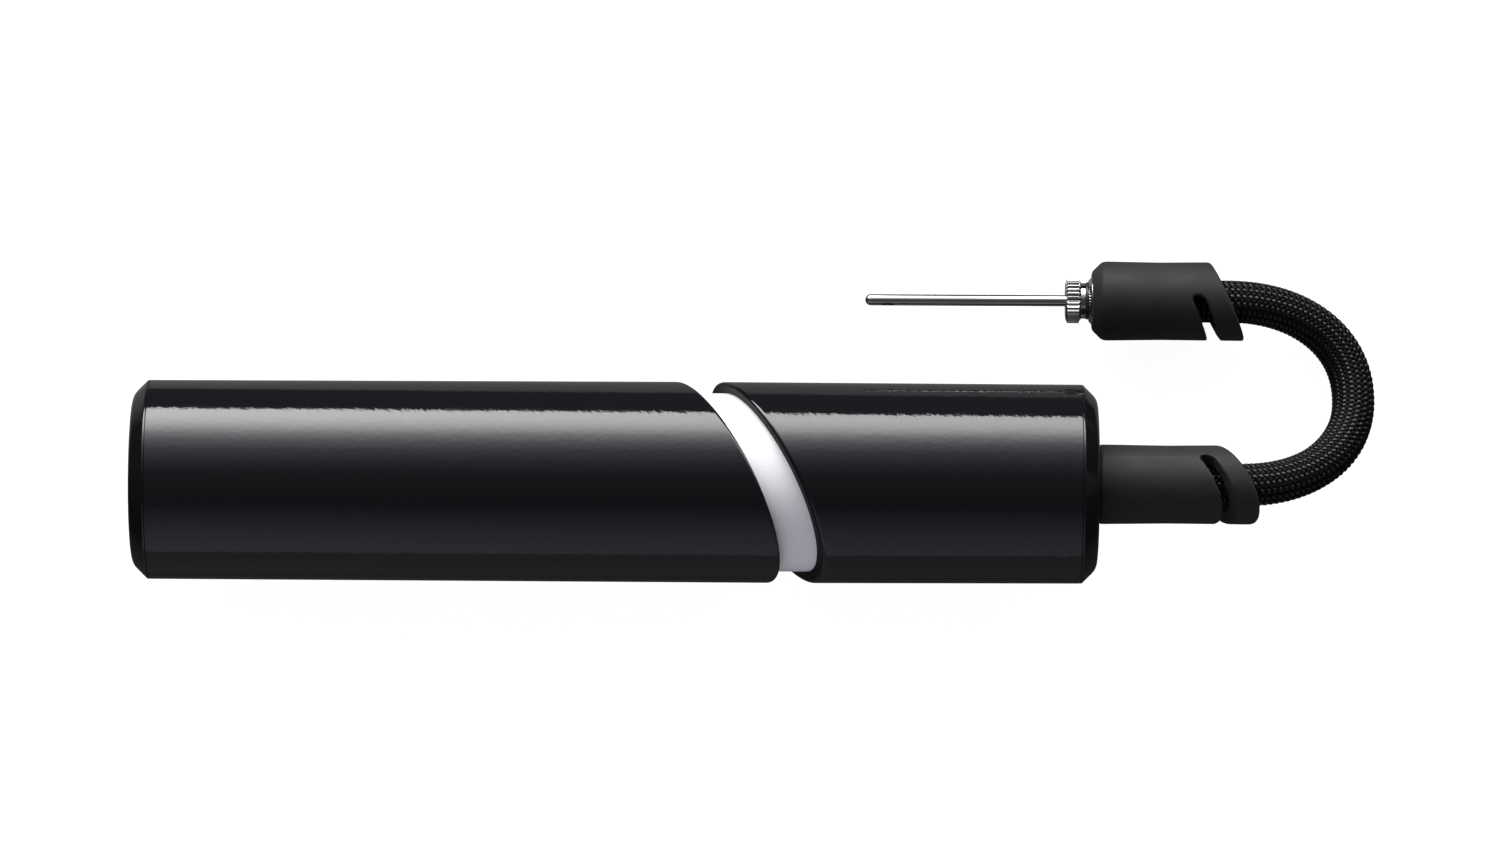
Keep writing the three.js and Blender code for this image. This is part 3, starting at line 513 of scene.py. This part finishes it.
def studio_light():
    """A long softbox along the pump on the +Y side, bright at the level of the surface and fading
    upwards, a faint card on the other side and little from straight above."""
    world = bpy.data.worlds.new("studio")
    bpy.context.scene.world = world
    world.use_nodes = True
    tree = world.node_tree
    back = tree.nodes["Background"]

    def node(kind, *inputs, **settings):
        made = tree.nodes.new(kind)
        for key, value in settings.items():
            setattr(made, key, value)
        for k, value in enumerate(inputs):
            if isinstance(value, bpy.types.NodeSocket):
                tree.links.new(value, made.inputs[k])
            elif value is not None:
                made.inputs[k].default_value = value
        return made

    place = node("ShaderNodeTexCoord").outputs["Generated"]
    split = node("ShaderNodeSeparateXYZ", place)
    angle = node("ShaderNodeMath", split.outputs["Y"], split.outputs["Z"], operation="ARCTAN2").outputs[0]
    # the softbox's edges aren't quite parallel to the pump: they come down towards its hose end
    along = split.outputs["X"]
    near = node("ShaderNodeMapRange", along, -0.07, 0.09, -0.07, 0.09).outputs[0]
    skew = node("ShaderNodeMapRange", angle, math.radians(40), math.radians(130), 0.0, 1.9).outputs[0]
    angle = node("ShaderNodeMath", near, skew, angle, operation="MULTIPLY_ADD").outputs[0]
    share = node("ShaderNodeMapRange", angle, -math.pi, math.pi, 0.0, 1.0).outputs[0]
    ramp = node("ShaderNodeValToRGB", share)
    # degrees from straight up towards +Y, brightness
    stops = [(-180, 0.03), (-144, 0.055), (-126, 0.125), (-112, 0.16), (-93, 0.2), (-91, 0.46),
             (-81, 0.47), (-64, 0.42), (-41, 0.22), (-33, 0.13), (-28, 0.075), (-15, 0.07),
             (8, 0.08), (22, 0.3), (36, 0.8), (46, 1.8), (55, 3.8), (63, 7.2), (70, 9.4),
             (77, 10.4), (86.5, 9.8), (88, 0.02), (123, 0.02), (126, 0.3), (155, 0.2), (180, 0.2)]
    peak = max(light for _, light in stops)
    card, sky = (-92, -20), (0, 50)  # the stretches that are tinted
    elements = ramp.color_ramp.elements
    while len(elements) > 1:
        elements.remove(elements[-1])
    for k, (degrees, light) in enumerate(stops):
        tint = (1.0, 1.0, 1.0)
        if card[0] < degrees < card[1]:
            tint = CARD_TINT
        if sky[0] < degrees < sky[1]:
            tint = SKY_TINT
        at = (degrees + 180) / 360
        element = elements[0] if k == 0 else elements.new(at)
        element.position = at
        element.color = (*(light / peak * t for t in tint), 1)
    tree.links.new(ramp.outputs["Color"], back.inputs["Color"])
    # all of it is a little dimmer towards the hose end, and ends short of the pump's own direction
    dimmer = node("ShaderNodeMapRange", along, -0.08, 0.08, 1.03, 0.78).outputs[0]
    beside = node("ShaderNodeMath", along, operation="ABSOLUTE").outputs[0]
    ends = node("ShaderNodeMapRange", beside, 0.6, 0.86, peak, 0.05 * peak,
                interpolation_type="SMOOTHSTEP").outputs[0]
    strength = node("ShaderNodeMath", dimmer, ends, operation="MULTIPLY").outputs[0]
    tree.links.new(strength, back.inputs["Strength"])

    fill = bpy.data.objects.new("fill", bpy.data.lights.new("fill", "SUN"))
    fill.data.energy = 0.8
    fill.data.angle = math.radians(120)
    fill.data.color = (0.93, 0.95, 1.0)
    fill.rotation_euler = (math.radians(62), 0, 0)
    fill.visible_glossy = False
    bpy.context.scene.collection.objects.link(fill)


# ------------------------------------------------------------------------------- sleeves and caps

def sleeve(name, profile, mouth, body, node):
    """A sleeve with an oblique mouth, whose dull cut is marked in the mesh's u."""
    verts, faces = revolved(profile, FINE)
    verts = lean(verts, SEAM_TILT, SEAM_TURN, lambda x: np.abs(x - mouth) < 10)
    deep = np.abs(profile[:, 0] - mouth)
    outer = profile[:, 1] > PUMP_RADIUS - 0.45 * LIP
    cut = np.where((deep < 1.5) & ~outer, 1.0, 0.0)
    uvs = []
    for a, b in zip(cut, np.roll(cut, -1)):
        uvs += [(a, 0), (a, 0), (b, 0), (b, 0)] * FINE
    obj = mesh_object(name, verts, faces, uvs=uvs)
    return finished(obj, BLACK.material, "shell_black", body, node)


def sleeves():
    end = HANDLE_FACE + CAP_RIM + 0.05
    profile = rounded([(end, SLEEVE_BORE, 0.1), (end, END_RADIUS, 0.12),
                       (HANDLE_MOUTH, PUMP_RADIUS, LIP), (HANDLE_MOUTH, SLEEVE_BORE, MOUTH_EDGE)], 8)
    sleeve("long_sleeve", profile, HANDLE_MOUTH, "handle", "handle_sleeve")

    mouth = HANDLE_MOUTH + SEAM_GAP
    end = HOSE_FACE - CAP_RIM - 0.05
    inner = BARREL_RADIUS + 0.05
    profile = rounded([(mouth, inner, MOUTH_EDGE), (mouth, PUMP_RADIUS, LIP),
                       (end, END_RADIUS, 0.12), (end, inner, 0.1)], 8)
    sleeve("short_sleeve", profile, mouth, "pump_body", "body_shell")


def cap_rim(face, side):
    bevel = END_RADIUS - CAP_BEVEL
    return [(face, bevel - CAP_EASE / 2, 2.6),
            (face + side * (CAP_RIM - 0.3), END_RADIUS - 0.02, 1.9),
            (face + side * CAP_RIM, END_RADIUS, 0.06)]


def end_caps():
    rim, bore = HANDLE_FACE + CAP_RIM, FOOT_RADIUS + 0.05
    spigot, spigot_radius = rim + CAP_SPIGOT, SLEEVE_BORE - 0.05
    hollow = HANDLE_FACE + CAP_FACE
    floor, foot_end = HANDLE_FACE + FOOT_FLOOR - 0.05, HANDLE_FACE + FOOT_FLOOR + FOOT_LENGTH
    seat = HANDLE_FACE + SCREW_HEIGHT
    profile = rounded([
        (HANDLE_FACE, SCREW_HEAD, 0.2), *cap_rim(HANDLE_FACE, 1), (rim, spigot_radius, 0.05),
        (spigot, spigot_radius, 0.3), (spigot, spigot_radius - CAP_WALL, 0.2),
        (hollow, spigot_radius - CAP_WALL, 0.4), (hollow, bore + CAP_WALL, 0.4),
        (foot_end, bore + CAP_WALL, 0.2), (foot_end, bore, 0.15), (floor, bore, 0.1),
        (floor, SCREW_RADIUS, 0.1), (seat, SCREW_RADIUS, 0.1), (seat, SCREW_HEAD, 0.1)])
    obj = mesh_object("long_sleeve_cap", *revolved(profile, ROUND))
    finished(obj, BLACK.material, "shell_black", "handle", "handle_end_cap")

    inner, hole, hollow = low("body_end_cap")[0], PORT_BOSS + 0.15, HOSE_FACE - CAP_FACE
    profile = rounded([
        (inner, BARREL_RADIUS - CAP_WALL, 0.2), (inner, BARREL_RADIUS, 0.3),
        (HOSE_FACE - CAP_RIM, BARREL_RADIUS, 0.05), *cap_rim(HOSE_FACE, -1)[::-1],
        (HOSE_FACE, hole, 0.25), (inner + 1, hole, 0.15), (inner + 1, hole + CAP_WALL, 0.2),
        (hollow, hole + CAP_WALL, 0.4), (hollow, BARREL_RADIUS - CAP_WALL, 0.4)])
    obj = mesh_object("short_sleeve_cap", *revolved(profile, ROUND))
    finished(obj, BLACK.material, "shell_black", "pump_body", "body_end_cap")


def barrel():
    bore = BARREL_RADIUS - BARREL_WALL
    profile = rounded([(BARREL_START, bore, 0.3), (BARREL_START, BARREL_RADIUS, 0.4),
                       (BARREL_END, BARREL_RADIUS, 0.3), (BARREL_END, bore, 0.3)])
    obj = mesh_object("white_barrel", *revolved(profile, ROUND))
    finished(obj, WHITE.material, "barrel_white", "pump_body", "barrel")


# ------------------------------------------------------------------------------------------- hose

def hose_path():
    """The hose's middle line: straight in both boots, half an ellipse in plan between them, a
    little fuller at its shoulders, down from the pump's axis to the chuck's, sagging below both."""
    step, steps = 0.4, 120
    points = [(HOSE_TURN - HOSE_IN_BOOT, 0, 0)]
    for k in range(steps + 1):
        angle = math.pi * k / steps
        out = max(math.sin(angle), 0.0) ** HOSE_FULLNESS
        back = math.copysign(abs(math.cos(angle)) ** HOSE_FULLNESS, math.cos(angle))
        across = (1 - back) / 2
        points.append((HOSE_TURN + HOSE_LEAN * back + HOSE_REACH * out, CHUCK_AWAY * across,
                       -CHUCK_DROP * across - HOSE_SAG * math.sin(angle) ** 1.5))
    points.append((HOSE_TURN - HOSE_IN_CHUCK, CHUCK_AWAY, -CHUCK_DROP))
    points = np.array(points) + PUMP_AXIS
    gone = np.concatenate([[0], np.cumsum(np.linalg.norm(np.diff(points, axis=0), axis=1))])
    count = int(gone[-1] / step)
    at = np.linspace(0, gone[-1], count + 1)
    even = np.stack([np.interp(at, gone, points[:, k]) for k in range(3)], 1)
    for _ in range(6):
        even[1:-1] = (even[:-2] + 2 * even[1:-1] + even[2:]) / 4
    return even, at


def frames(points):
    """Directions along and across a path, the two across turning as little as they can."""
    along = np.gradient(points, axis=0)
    along /= np.linalg.norm(along, axis=1)[:, None]
    across = np.zeros_like(points)
    side = np.array([0.0, 0.0, 1.0])
    for k, t in enumerate(along):
        side = side - t * (side @ t)
        side /= np.linalg.norm(side)
        across[k] = side
    return along, across, np.cross(along, across)


def tube(points, radius, segments, normals):
    _, up, side = normals
    angles = np.arange(segments) * 2 * math.pi / segments
    rings = [p + radius * (np.outer(np.cos(angles), u) + np.outer(np.sin(angles), s))
             for p, u, s in zip(points, up, side)]
    verts = np.concatenate(rings)
    faces = []
    for k in range(len(points) - 1):
        for j in range(segments):
            n = (j + 1) % segments
            a, b = k * segments, (k + 1) * segments
            faces.append((a + j, a + n, b + n, b + j))
    last = (len(points) - 1) * segments
    faces.append(tuple(range(segments)))
    faces.append(tuple(last + j for j in range(segments)))
    return verts, faces


def braided_hose():
    """A 32-yarn braid, each yarn over one and under one, on a dark inner tube. The mesh carries
    the place across (u) and along (v) each yarn."""
    points, at = hose_path()
    normals = frames(points)
    yarns, lead, swing, thick, width = 16, 15.7, 0.17, 0.22, 0.84
    middle = HOSE_RADIUS - swing - thick / 2
    verts, faces = tube(points, middle - swing, 32, normals)
    verts, faces = [verts], list(faces)
    uvs = [(0.5, 0.5)] * sum(len(f) for f in faces)
    made = len(verts[0])

    margin, rings_per_crossing = 0.3, 7
    s = np.arange(margin, at[-1] - margin, lead / yarns / rings_per_crossing)
    count = len(s)
    base = [np.stack([np.interp(s, at, a[:, k]) for k in range(3)], 1)
            for a in (points, normals[1], normals[2])]
    # a yarn's section, flat below and crowned above, and its u at each corner
    section = [(-0.5, -0.3), (-0.24, 0.42), (0.24, 0.42), (0.5, -0.3)]
    section_u = [0.0, 0.28, 0.72, 1.0]
    sides = len(section)
    # the yarns laid the other way are a little sunk, with their u from 4 up, where the yarn material paints
    # them darker as painted shade
    for way, family, height in ((1, 0.0, 1.0), (-1, 4.0, 0.7)):
        for yarn in range(yarns):
            angle = 2 * math.pi * yarn / yarns + way * 2 * math.pi * s / lead
            over = np.sin(np.cos(yarns * angle) * math.pi / 2)
            radius = middle + way * height * swing * over
            out = np.cos(angle)[:, None] * base[1] + np.sin(angle)[:, None] * base[2]
            centre = base[0] + radius[:, None] * out
            run = np.gradient(centre, axis=0)
            run /= np.linalg.norm(run, axis=1)[:, None]
            side = np.cross(out, run)
            side /= np.linalg.norm(side, axis=1)[:, None]
            up = np.cross(run, side)
            rings = np.stack([centre + side * (width * a) + up * (thick * b) for a, b in section], 1)
            verts.append(rings.reshape(-1, 3))
            length = s / math.cos(math.atan(2 * math.pi * middle / lead))
            for k in range(count - 1):
                a, b = made + k * sides, made + (k + 1) * sides
                for j in range(sides):
                    n = (j + 1) % sides
                    faces.append((a + j, a + n, b + n, b + j))
                    u0, u1 = family + section_u[j], family + (section_u[n] if n else 2.0)
                    uvs += [(u0, length[k]), (u1, length[k]), (u1, length[k + 1]), (u0, length[k + 1])]
            for ring, v in ((0, length[0]), (count - 1, length[-1])):
                faces.append(tuple(made + ring * sides + j for j in range(sides)))
                uvs += [(family + 0.5, v)] * sides
            made += count * sides
    obj = mesh_object("braided_hose", np.concatenate(verts), faces, np.zeros(3), smooth=None, uvs=uvs)
    finished(obj, YARN.material, "hose_braid", "hose_line", "hose")
    return obj, points, at[-1]


# ------------------------------------------------------------------------------------------ boots

def boot(name, base, axis, bore, tilt, turn, chamfer, nodes):
    """A slotted rubber boot. `bore` lists the steps of its bore as (depth, radius)."""
    end = base + BOOT_LENGTH
    slot_end = end - SLOT_RING
    slot_start = slot_end - SLOT_WIDTH
    inside, depth = [], 0.0
    for reach, radius in bore:
        inside += [(base + depth, radius, 0.1), (base + reach, radius, 0.1)]
        depth = reach
    inside += [(base + depth, BOOT_BORE, 0.1), (slot_start - 1, BOOT_BORE, 0.5),
               (end, BOOT_BORE + BOOT_FLARE, 0.3)]
    chamfered = [(base, BOOT_RADIUS - chamfer, 0.3 + 0.4 * chamfer),
                 (base + chamfer, BOOT_RADIUS, 0.5 + 0.6 * chamfer)]
    profile = rounded([(base, bore[0][1], 0.2), *chamfered, (base + BOOT_LENGTH / 2, BOOT_WAIST, 8.0),
                       (end, BOOT_WAIST + 0.1, BOOT_LIP), *inside[:0:-1]], 6)
    verts, faces = revolved(profile, 128)
    verts = lean(verts, tilt, turn, lambda x: x > slot_end)
    body = mesh_object(name, verts, faces, axis, smooth=None)

    half = SLOT_WIDTH / 2
    size = 2 * BOOT_RADIUS
    outline = [(half, size), (-half, size)]
    outline += [(half * math.cos(t), half - 0.5 + half * math.sin(t))
                for t in np.linspace(math.pi, 2 * math.pi, 25)]
    count = len(outline)
    layers = np.linspace(-size, size, 29)
    verts = np.array([(slot_start + half + x, y, z) for z in layers for x, y in outline])
    faces = [tuple(range(count)), tuple((len(layers) - 1) * count + j for j in range(count))]
    for k in range(len(layers) - 1):
        for j in range(count):
            n = (j + 1) % count
            a, b = k * count, (k + 1) * count
            faces.append((a + j, a + n, b + n, b + j))
    # the slot comes in from the longer side of the boot's oblique end, and leans with it
    a = math.pi - math.radians(turn)
    y, z = verts[:, 1].copy(), verts[:, 2].copy()
    verts[:, 1] = y * math.cos(a) - z * math.sin(a)
    verts[:, 2] = y * math.sin(a) + z * math.cos(a)
    verts = lean(verts, tilt, turn, lambda x: np.full(len(x), True))
    cut_by(body, mesh_object(name + "_slot", verts, faces, axis, smooth=None))

    remesh = body.modifiers.new("remesh", "REMESH")
    remesh.mode = "VOXEL"
    remesh.voxel_size = 0.19 * MM
    remesh.use_smooth_shade = True
    ease = body.modifiers.new("ease", "SMOOTH")
    ease.factor, ease.iterations = 0.5, 5
    applied(body)
    body.data.shade_smooth()
    return finished(body, BOOT.material, "boot_rubber", "hose_line", *nodes)


def boots():
    flange, in_ferrule = FLANGE_THICK + 0.1 - BOOT_GAP, 8.05
    ferrule = HOSE_RADIUS + FERRULE_GAP + FERRULE_WALL + 0.1
    pump = boot("pump_end_boot", HOSE_FACE + BOOT_GAP, PUMP_AXIS,
                [(flange, FLANGE_RADIUS + 0.05), (flange + 9.2, ferrule)],
                PUMP_BOOT_TILT, PUMP_BOOT_TURN, 0.3, ["pump_boot"])
    chuck_hose = HOSE_TURN - HOSE_IN_CHUCK - CHUCK_BASE
    chuck = boot("needle_end_boot", CHUCK_BASE, CHUCK_AXIS,
                 [(SOCKET_STEP - 0.05, SOCKET_RIM + 0.05),
                  (SOCKET_END - CHUCK_BASE + 0.05, SOCKET_RADIUS + 0.05),
                  (chuck_hose + in_ferrule, ferrule)],
                 CHUCK_BOOT_TILT, CHUCK_BOOT_TURN, 1.9, ["chuck_boot"])
    return pump, chuck


# --------------------------------------------------------------------------- fittings and needle

def hose_fitting():
    """The thread that screws into the port, a flange under the boot and a short tail."""
    start, face, tail = HOSE_FACE - SHANK, HOSE_FACE + 0.05, HOSE_FACE + FLANGE_THICK + 0.05
    tail_end = tail + TAIL_LENGTH
    radius, relief, thread_end = PORT_RADIUS - 0.1, 0.25, HOSE_FACE - 1.6
    point = rounded([(tail_end, AIRWAY, 0), (start, AIRWAY, 0.15), (start, radius - 0.55, 0.1),
                     (start + 0.5, radius, 0)], closed=False)
    head = rounded([(thread_end + 0.1, radius - relief, 0), (face, radius - relief, 0.05),
                    (face, FLANGE_RADIUS, 0.15), (tail, FLANGE_RADIUS, 0.3), (tail, TAIL_RADIUS, 0.1),
                    (tail_end, TAIL_RADIUS, 0.2), (tail_end, AIRWAY, 0)], closed=False)
    profile = np.array([*point, *threaded(start + 0.6, thread_end, radius), *head[:-1]])
    cut = thread_radius(THREAD_PITCH, 0.42, start + 0.4, thread_end)
    obj = mesh_object("threaded_fitting", *revolved(profile, SMALL, radius=cut))
    return finished(obj, BRASS.material, "brass", "hose_line", "hose_fitting")


def ring(name, centre, middle, section, axis, material, slot, body, node):
    circle = [(centre + section / 2 * math.cos(t), middle + section / 2 * math.sin(t))
              for t in np.linspace(0, 2 * math.pi, 24, endpoint=False)]
    verts, faces = revolved(np.array(circle), SMALL)
    obj = mesh_object(name, verts, faces, axis, smooth=None)
    return finished(obj, material, slot, body, node)


def chuck_socket():
    """The plated insert in the chuck's boot, with its threaded bore and the rim that shows."""
    bore = NEEDLE_THREAD + 0.1
    thread_start, thread_end = SOCKET_FACE + 0.4, THREAD_END + 0.3
    step = CHUCK_BASE + SOCKET_STEP
    outside = rounded([(thread_end, AIRWAY, 0), (SOCKET_END, AIRWAY, 0.1), (SOCKET_END, SOCKET_RADIUS, 0.15),
                       (step, SOCKET_RADIUS, 0.15), (step, SOCKET_RIM, 0.05),
                       (CHUCK_BASE, SOCKET_RIM, 0.12), (SOCKET_FACE, SOCKET_MOUTH, 0.12),
                       (SOCKET_FACE, bore + 0.3, 0)], closed=False)
    inside = threaded(thread_start, thread_end - 0.2, bore)
    cut = thread_radius(THREAD_PITCH, -0.3, thread_start, thread_end - 0.2)

    def radius(k, x, r, angles):
        if abs(r - bore) > 1e-6:
            return np.full(len(angles), r)
        return cut(k, x, r, angles)

    profile = np.array([*outside, *inside, (thread_end, bore)])
    obj = mesh_object("plated_socket", *revolved(profile, SMALL, radius=radius), CHUCK_AXIS)
    return finished(obj, NICKEL.material, "nickel", "hose_line", "chuck_socket")


def needle_collar():
    """The knurled head with eased ends, its neck, and the thread that screws into the socket."""
    knurl_end, hole = KNURL_START + KNURL_LENGTH, 1.05
    top, base = KNURL_RADIUS, KNURL_RADIUS - KNURL_DEPTH - 0.05
    ease, rise = 0.34, top - base + 0.25
    turns = np.linspace(0, 1, 6)
    knurl = [(KNURL_START, hole), (KNURL_START, hole + 0.6), (KNURL_START, base - 0.55),
             (KNURL_START + 0.06, base - 0.3)]
    knurl += [(KNURL_START + 0.08 + ease * t, base - 0.25 + rise * math.sin(t * math.pi / 2)) for t in turns]
    knurl += [(x, top) for x in np.linspace(KNURL_START + 0.5, knurl_end - 0.5, 8)]
    knurl += [(knurl_end - 0.42 + ease * t, top - rise * (1 - math.cos(t * math.pi / 2))) for t in turns]
    knurl += [(knurl_end - 0.04, base - 0.3), (knurl_end, base - 0.4)]
    neck_end, root = WASHER_START - 0.05, NEEDLE_THREAD - 0.2
    neck = rounded([(knurl_end, NECK_RADIUS + 0.3, 0), (knurl_end, NECK_RADIUS, 0.08),
                    (neck_end, NECK_RADIUS, 0.1), (neck_end, root, 0.05), (WASHER_END + 0.2, root, 0)],
                   closed=False)
    screw = threaded(WASHER_END + 0.3, THREAD_END - 0.5, NEEDLE_THREAD)
    end = [(THREAD_END - 0.45, NEEDLE_THREAD - 0.05), (THREAD_END, NEEDLE_THREAD - 0.5),
           (THREAD_END, NEEDLE_THREAD - 0.6), (THREAD_END, hole)]
    cut = thread_radius(THREAD_PITCH, 0.35, WASHER_END + 0.2, THREAD_END - 0.1)

    def radius(k, x, r, angles):
        if x <= knurl_end and r > base - 0.01:
            valley = (0.5 - 0.5 * np.cos(KNURL_COUNT * angles)) ** 0.7
            return r - np.minimum(KNURL_DEPTH * valley, r - base + 0.3)
        if r > NEEDLE_THREAD - 0.1 and x > WASHER_END:
            return cut(k, x, r, angles)
        return np.full(len(angles), r)

    verts, faces = revolved(np.array([*knurl, *neck, *screw, *end]), KNURL_COUNT * 10, radius=radius)
    obj = mesh_object("knurled_collar", verts, faces, CHUCK_AXIS, smooth=math.radians(50))
    return finished(obj, NICKEL.material, "nickel", "needle", "needle_collar")


def needle_tube():
    """The hollow shaft with a domed tip and a slot through its wall for the air."""
    inside_end = NEEDLE_TIP + 2 * NEEDLE_RADIUS
    dome = [(NEEDLE_TIP + NEEDLE_RADIUS * (1 - math.cos(t)), NEEDLE_RADIUS * math.sin(t))
            for t in np.linspace(0, math.pi / 2, 16)]
    dome[0] = (NEEDLE_TIP, 0.0)
    straight = [(x, NEEDLE_RADIUS) for x in np.linspace(NEEDLE_TIP + 1.2, NEEDLE_END - 0.1, 24)]
    inside = [(NEEDLE_END, NEEDLE_RADIUS - 0.08), (NEEDLE_END, NEEDLE_BORE), (inside_end, NEEDLE_BORE),
              (inside_end - 0.2, 0.0)]
    verts, faces = revolved(np.array([*dome, *straight, *inside]), 64, closed=False)
    shaft = mesh_object("needle_shaft", verts, faces, CHUCK_AXIS, smooth=None)

    half = AIR_HOLE_WIDTH / 2
    near = NEEDLE_TIP + AIR_HOLE_START + half
    far = NEEDLE_TIP + AIR_HOLE_START + AIR_HOLE_LENGTH - half
    turns = np.linspace(-math.pi / 2, math.pi / 2, 13)
    outline = [(far + half * math.cos(t), half * math.sin(t)) for t in turns]
    outline += [(near - half * math.cos(t), -half * math.sin(t)) for t in turns]
    count = len(outline)
    cos, sin = math.cos(math.radians(AIR_HOLE_TURN)), math.sin(math.radians(AIR_HOLE_TURN))
    verts = np.array([(x, y * cos - z * sin, y * sin + z * cos) for z in (0.0, 2.0) for x, y in outline])
    faces = [tuple(range(count)), tuple(count + j for j in range(count))]
    faces += [(j, (j + 1) % count, count + (j + 1) % count, count + j) for j in range(count)]
    cut_by(shaft, mesh_object("air_hole", verts, faces, CHUCK_AXIS, smooth=None))
    shaft.data.shade_smooth()
    shaft.data.set_sharp_from_angle(angle=math.radians(35))
    return finished(shaft, NICKEL.material, "nickel", "needle", "needle_tube")


def needle_washer():
    inner = NEEDLE_THREAD + 0.04
    profile = rounded([(WASHER_START, inner, 0.08), (WASHER_START, GASKET_RADIUS, 0.15),
                       (WASHER_END, GASKET_RADIUS, 0.15), (WASHER_END, inner, 0.08)])
    obj = mesh_object("needle_gasket", *revolved(profile, SMALL), CHUCK_AXIS)
    return finished(obj, SEAL.material, "seal_rubber", "needle_seal", "needle_washer")


# ------------------------------------------------------------------------- inside: spring and rest

def valve_spring():
    """A wound spring with closed end turns, held at the retainer."""
    steps_per_turn, closed_part, closed_rise = 32, 0.12, 0.06
    start, end = low("valve_spring")[0], high("valve_spring")[0]
    coil = high("valve_spring")[2] - AXIS_Z - SPRING_WIRE
    t = np.linspace(0, 1, SPRING_TURNS * steps_per_turn + 1)
    angle = math.pi / 2 + 2 * math.pi * SPRING_TURNS * t
    climb = np.interp(t, [0, closed_part, 1 - closed_part, 1], [0, closed_rise, 1 - closed_rise, 1])
    along = start + SPRING_WIRE + (end - start - 2 * SPRING_WIRE) * climb
    points = np.stack([along, coil * np.cos(angle), coil * np.sin(angle)], 1)
    obj = mesh_object("wound_spring", *tube(points, SPRING_WIRE, 12, frames(points)))
    finished(obj, STEEL.material, "steel", "pump_body", "valve_spring")
    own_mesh(obj)


def inside_pieces():
    """The CAD solids inside keep their shape."""
    kept = {
        NYLON: ["rod_guide", "piston_rod", "piston", "valve_head"],
        SEAL: ["stop_bumper", "piston_ring", "head_seal"],
        STEEL: ["rod_screw", "piston_screw", "valve_ball", "pump_ferrule", "chuck_ferrule"],
        BRASS: ["valve_retainer"],
    }
    for shader, names in kept.items():
        for name in names:
            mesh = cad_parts[name].data
            mesh.materials.clear()
            mesh.materials.append(shader.material)


stage()
studio_light()
hose, path, hose_length = braided_hose()
sleeves()
end_caps()
barrel()
pump_boot, chuck_boot = boots()
fitting = hose_fitting()
oring = ring("fitting_oring", HOSE_FACE - 0.75, ORING_MIDDLE, ORING_SECTION, PUMP_AXIS, SEAL.material,
             "seal_rubber", "hose_seal", "hose_washer")
on_hose = [pump_boot, chuck_boot, oring, fitting, chuck_socket(), needle_collar(), needle_tube(),
           needle_washer(), "pump_ferrule", "chuck_ferrule"]
valve_spring()
inside_pieces()
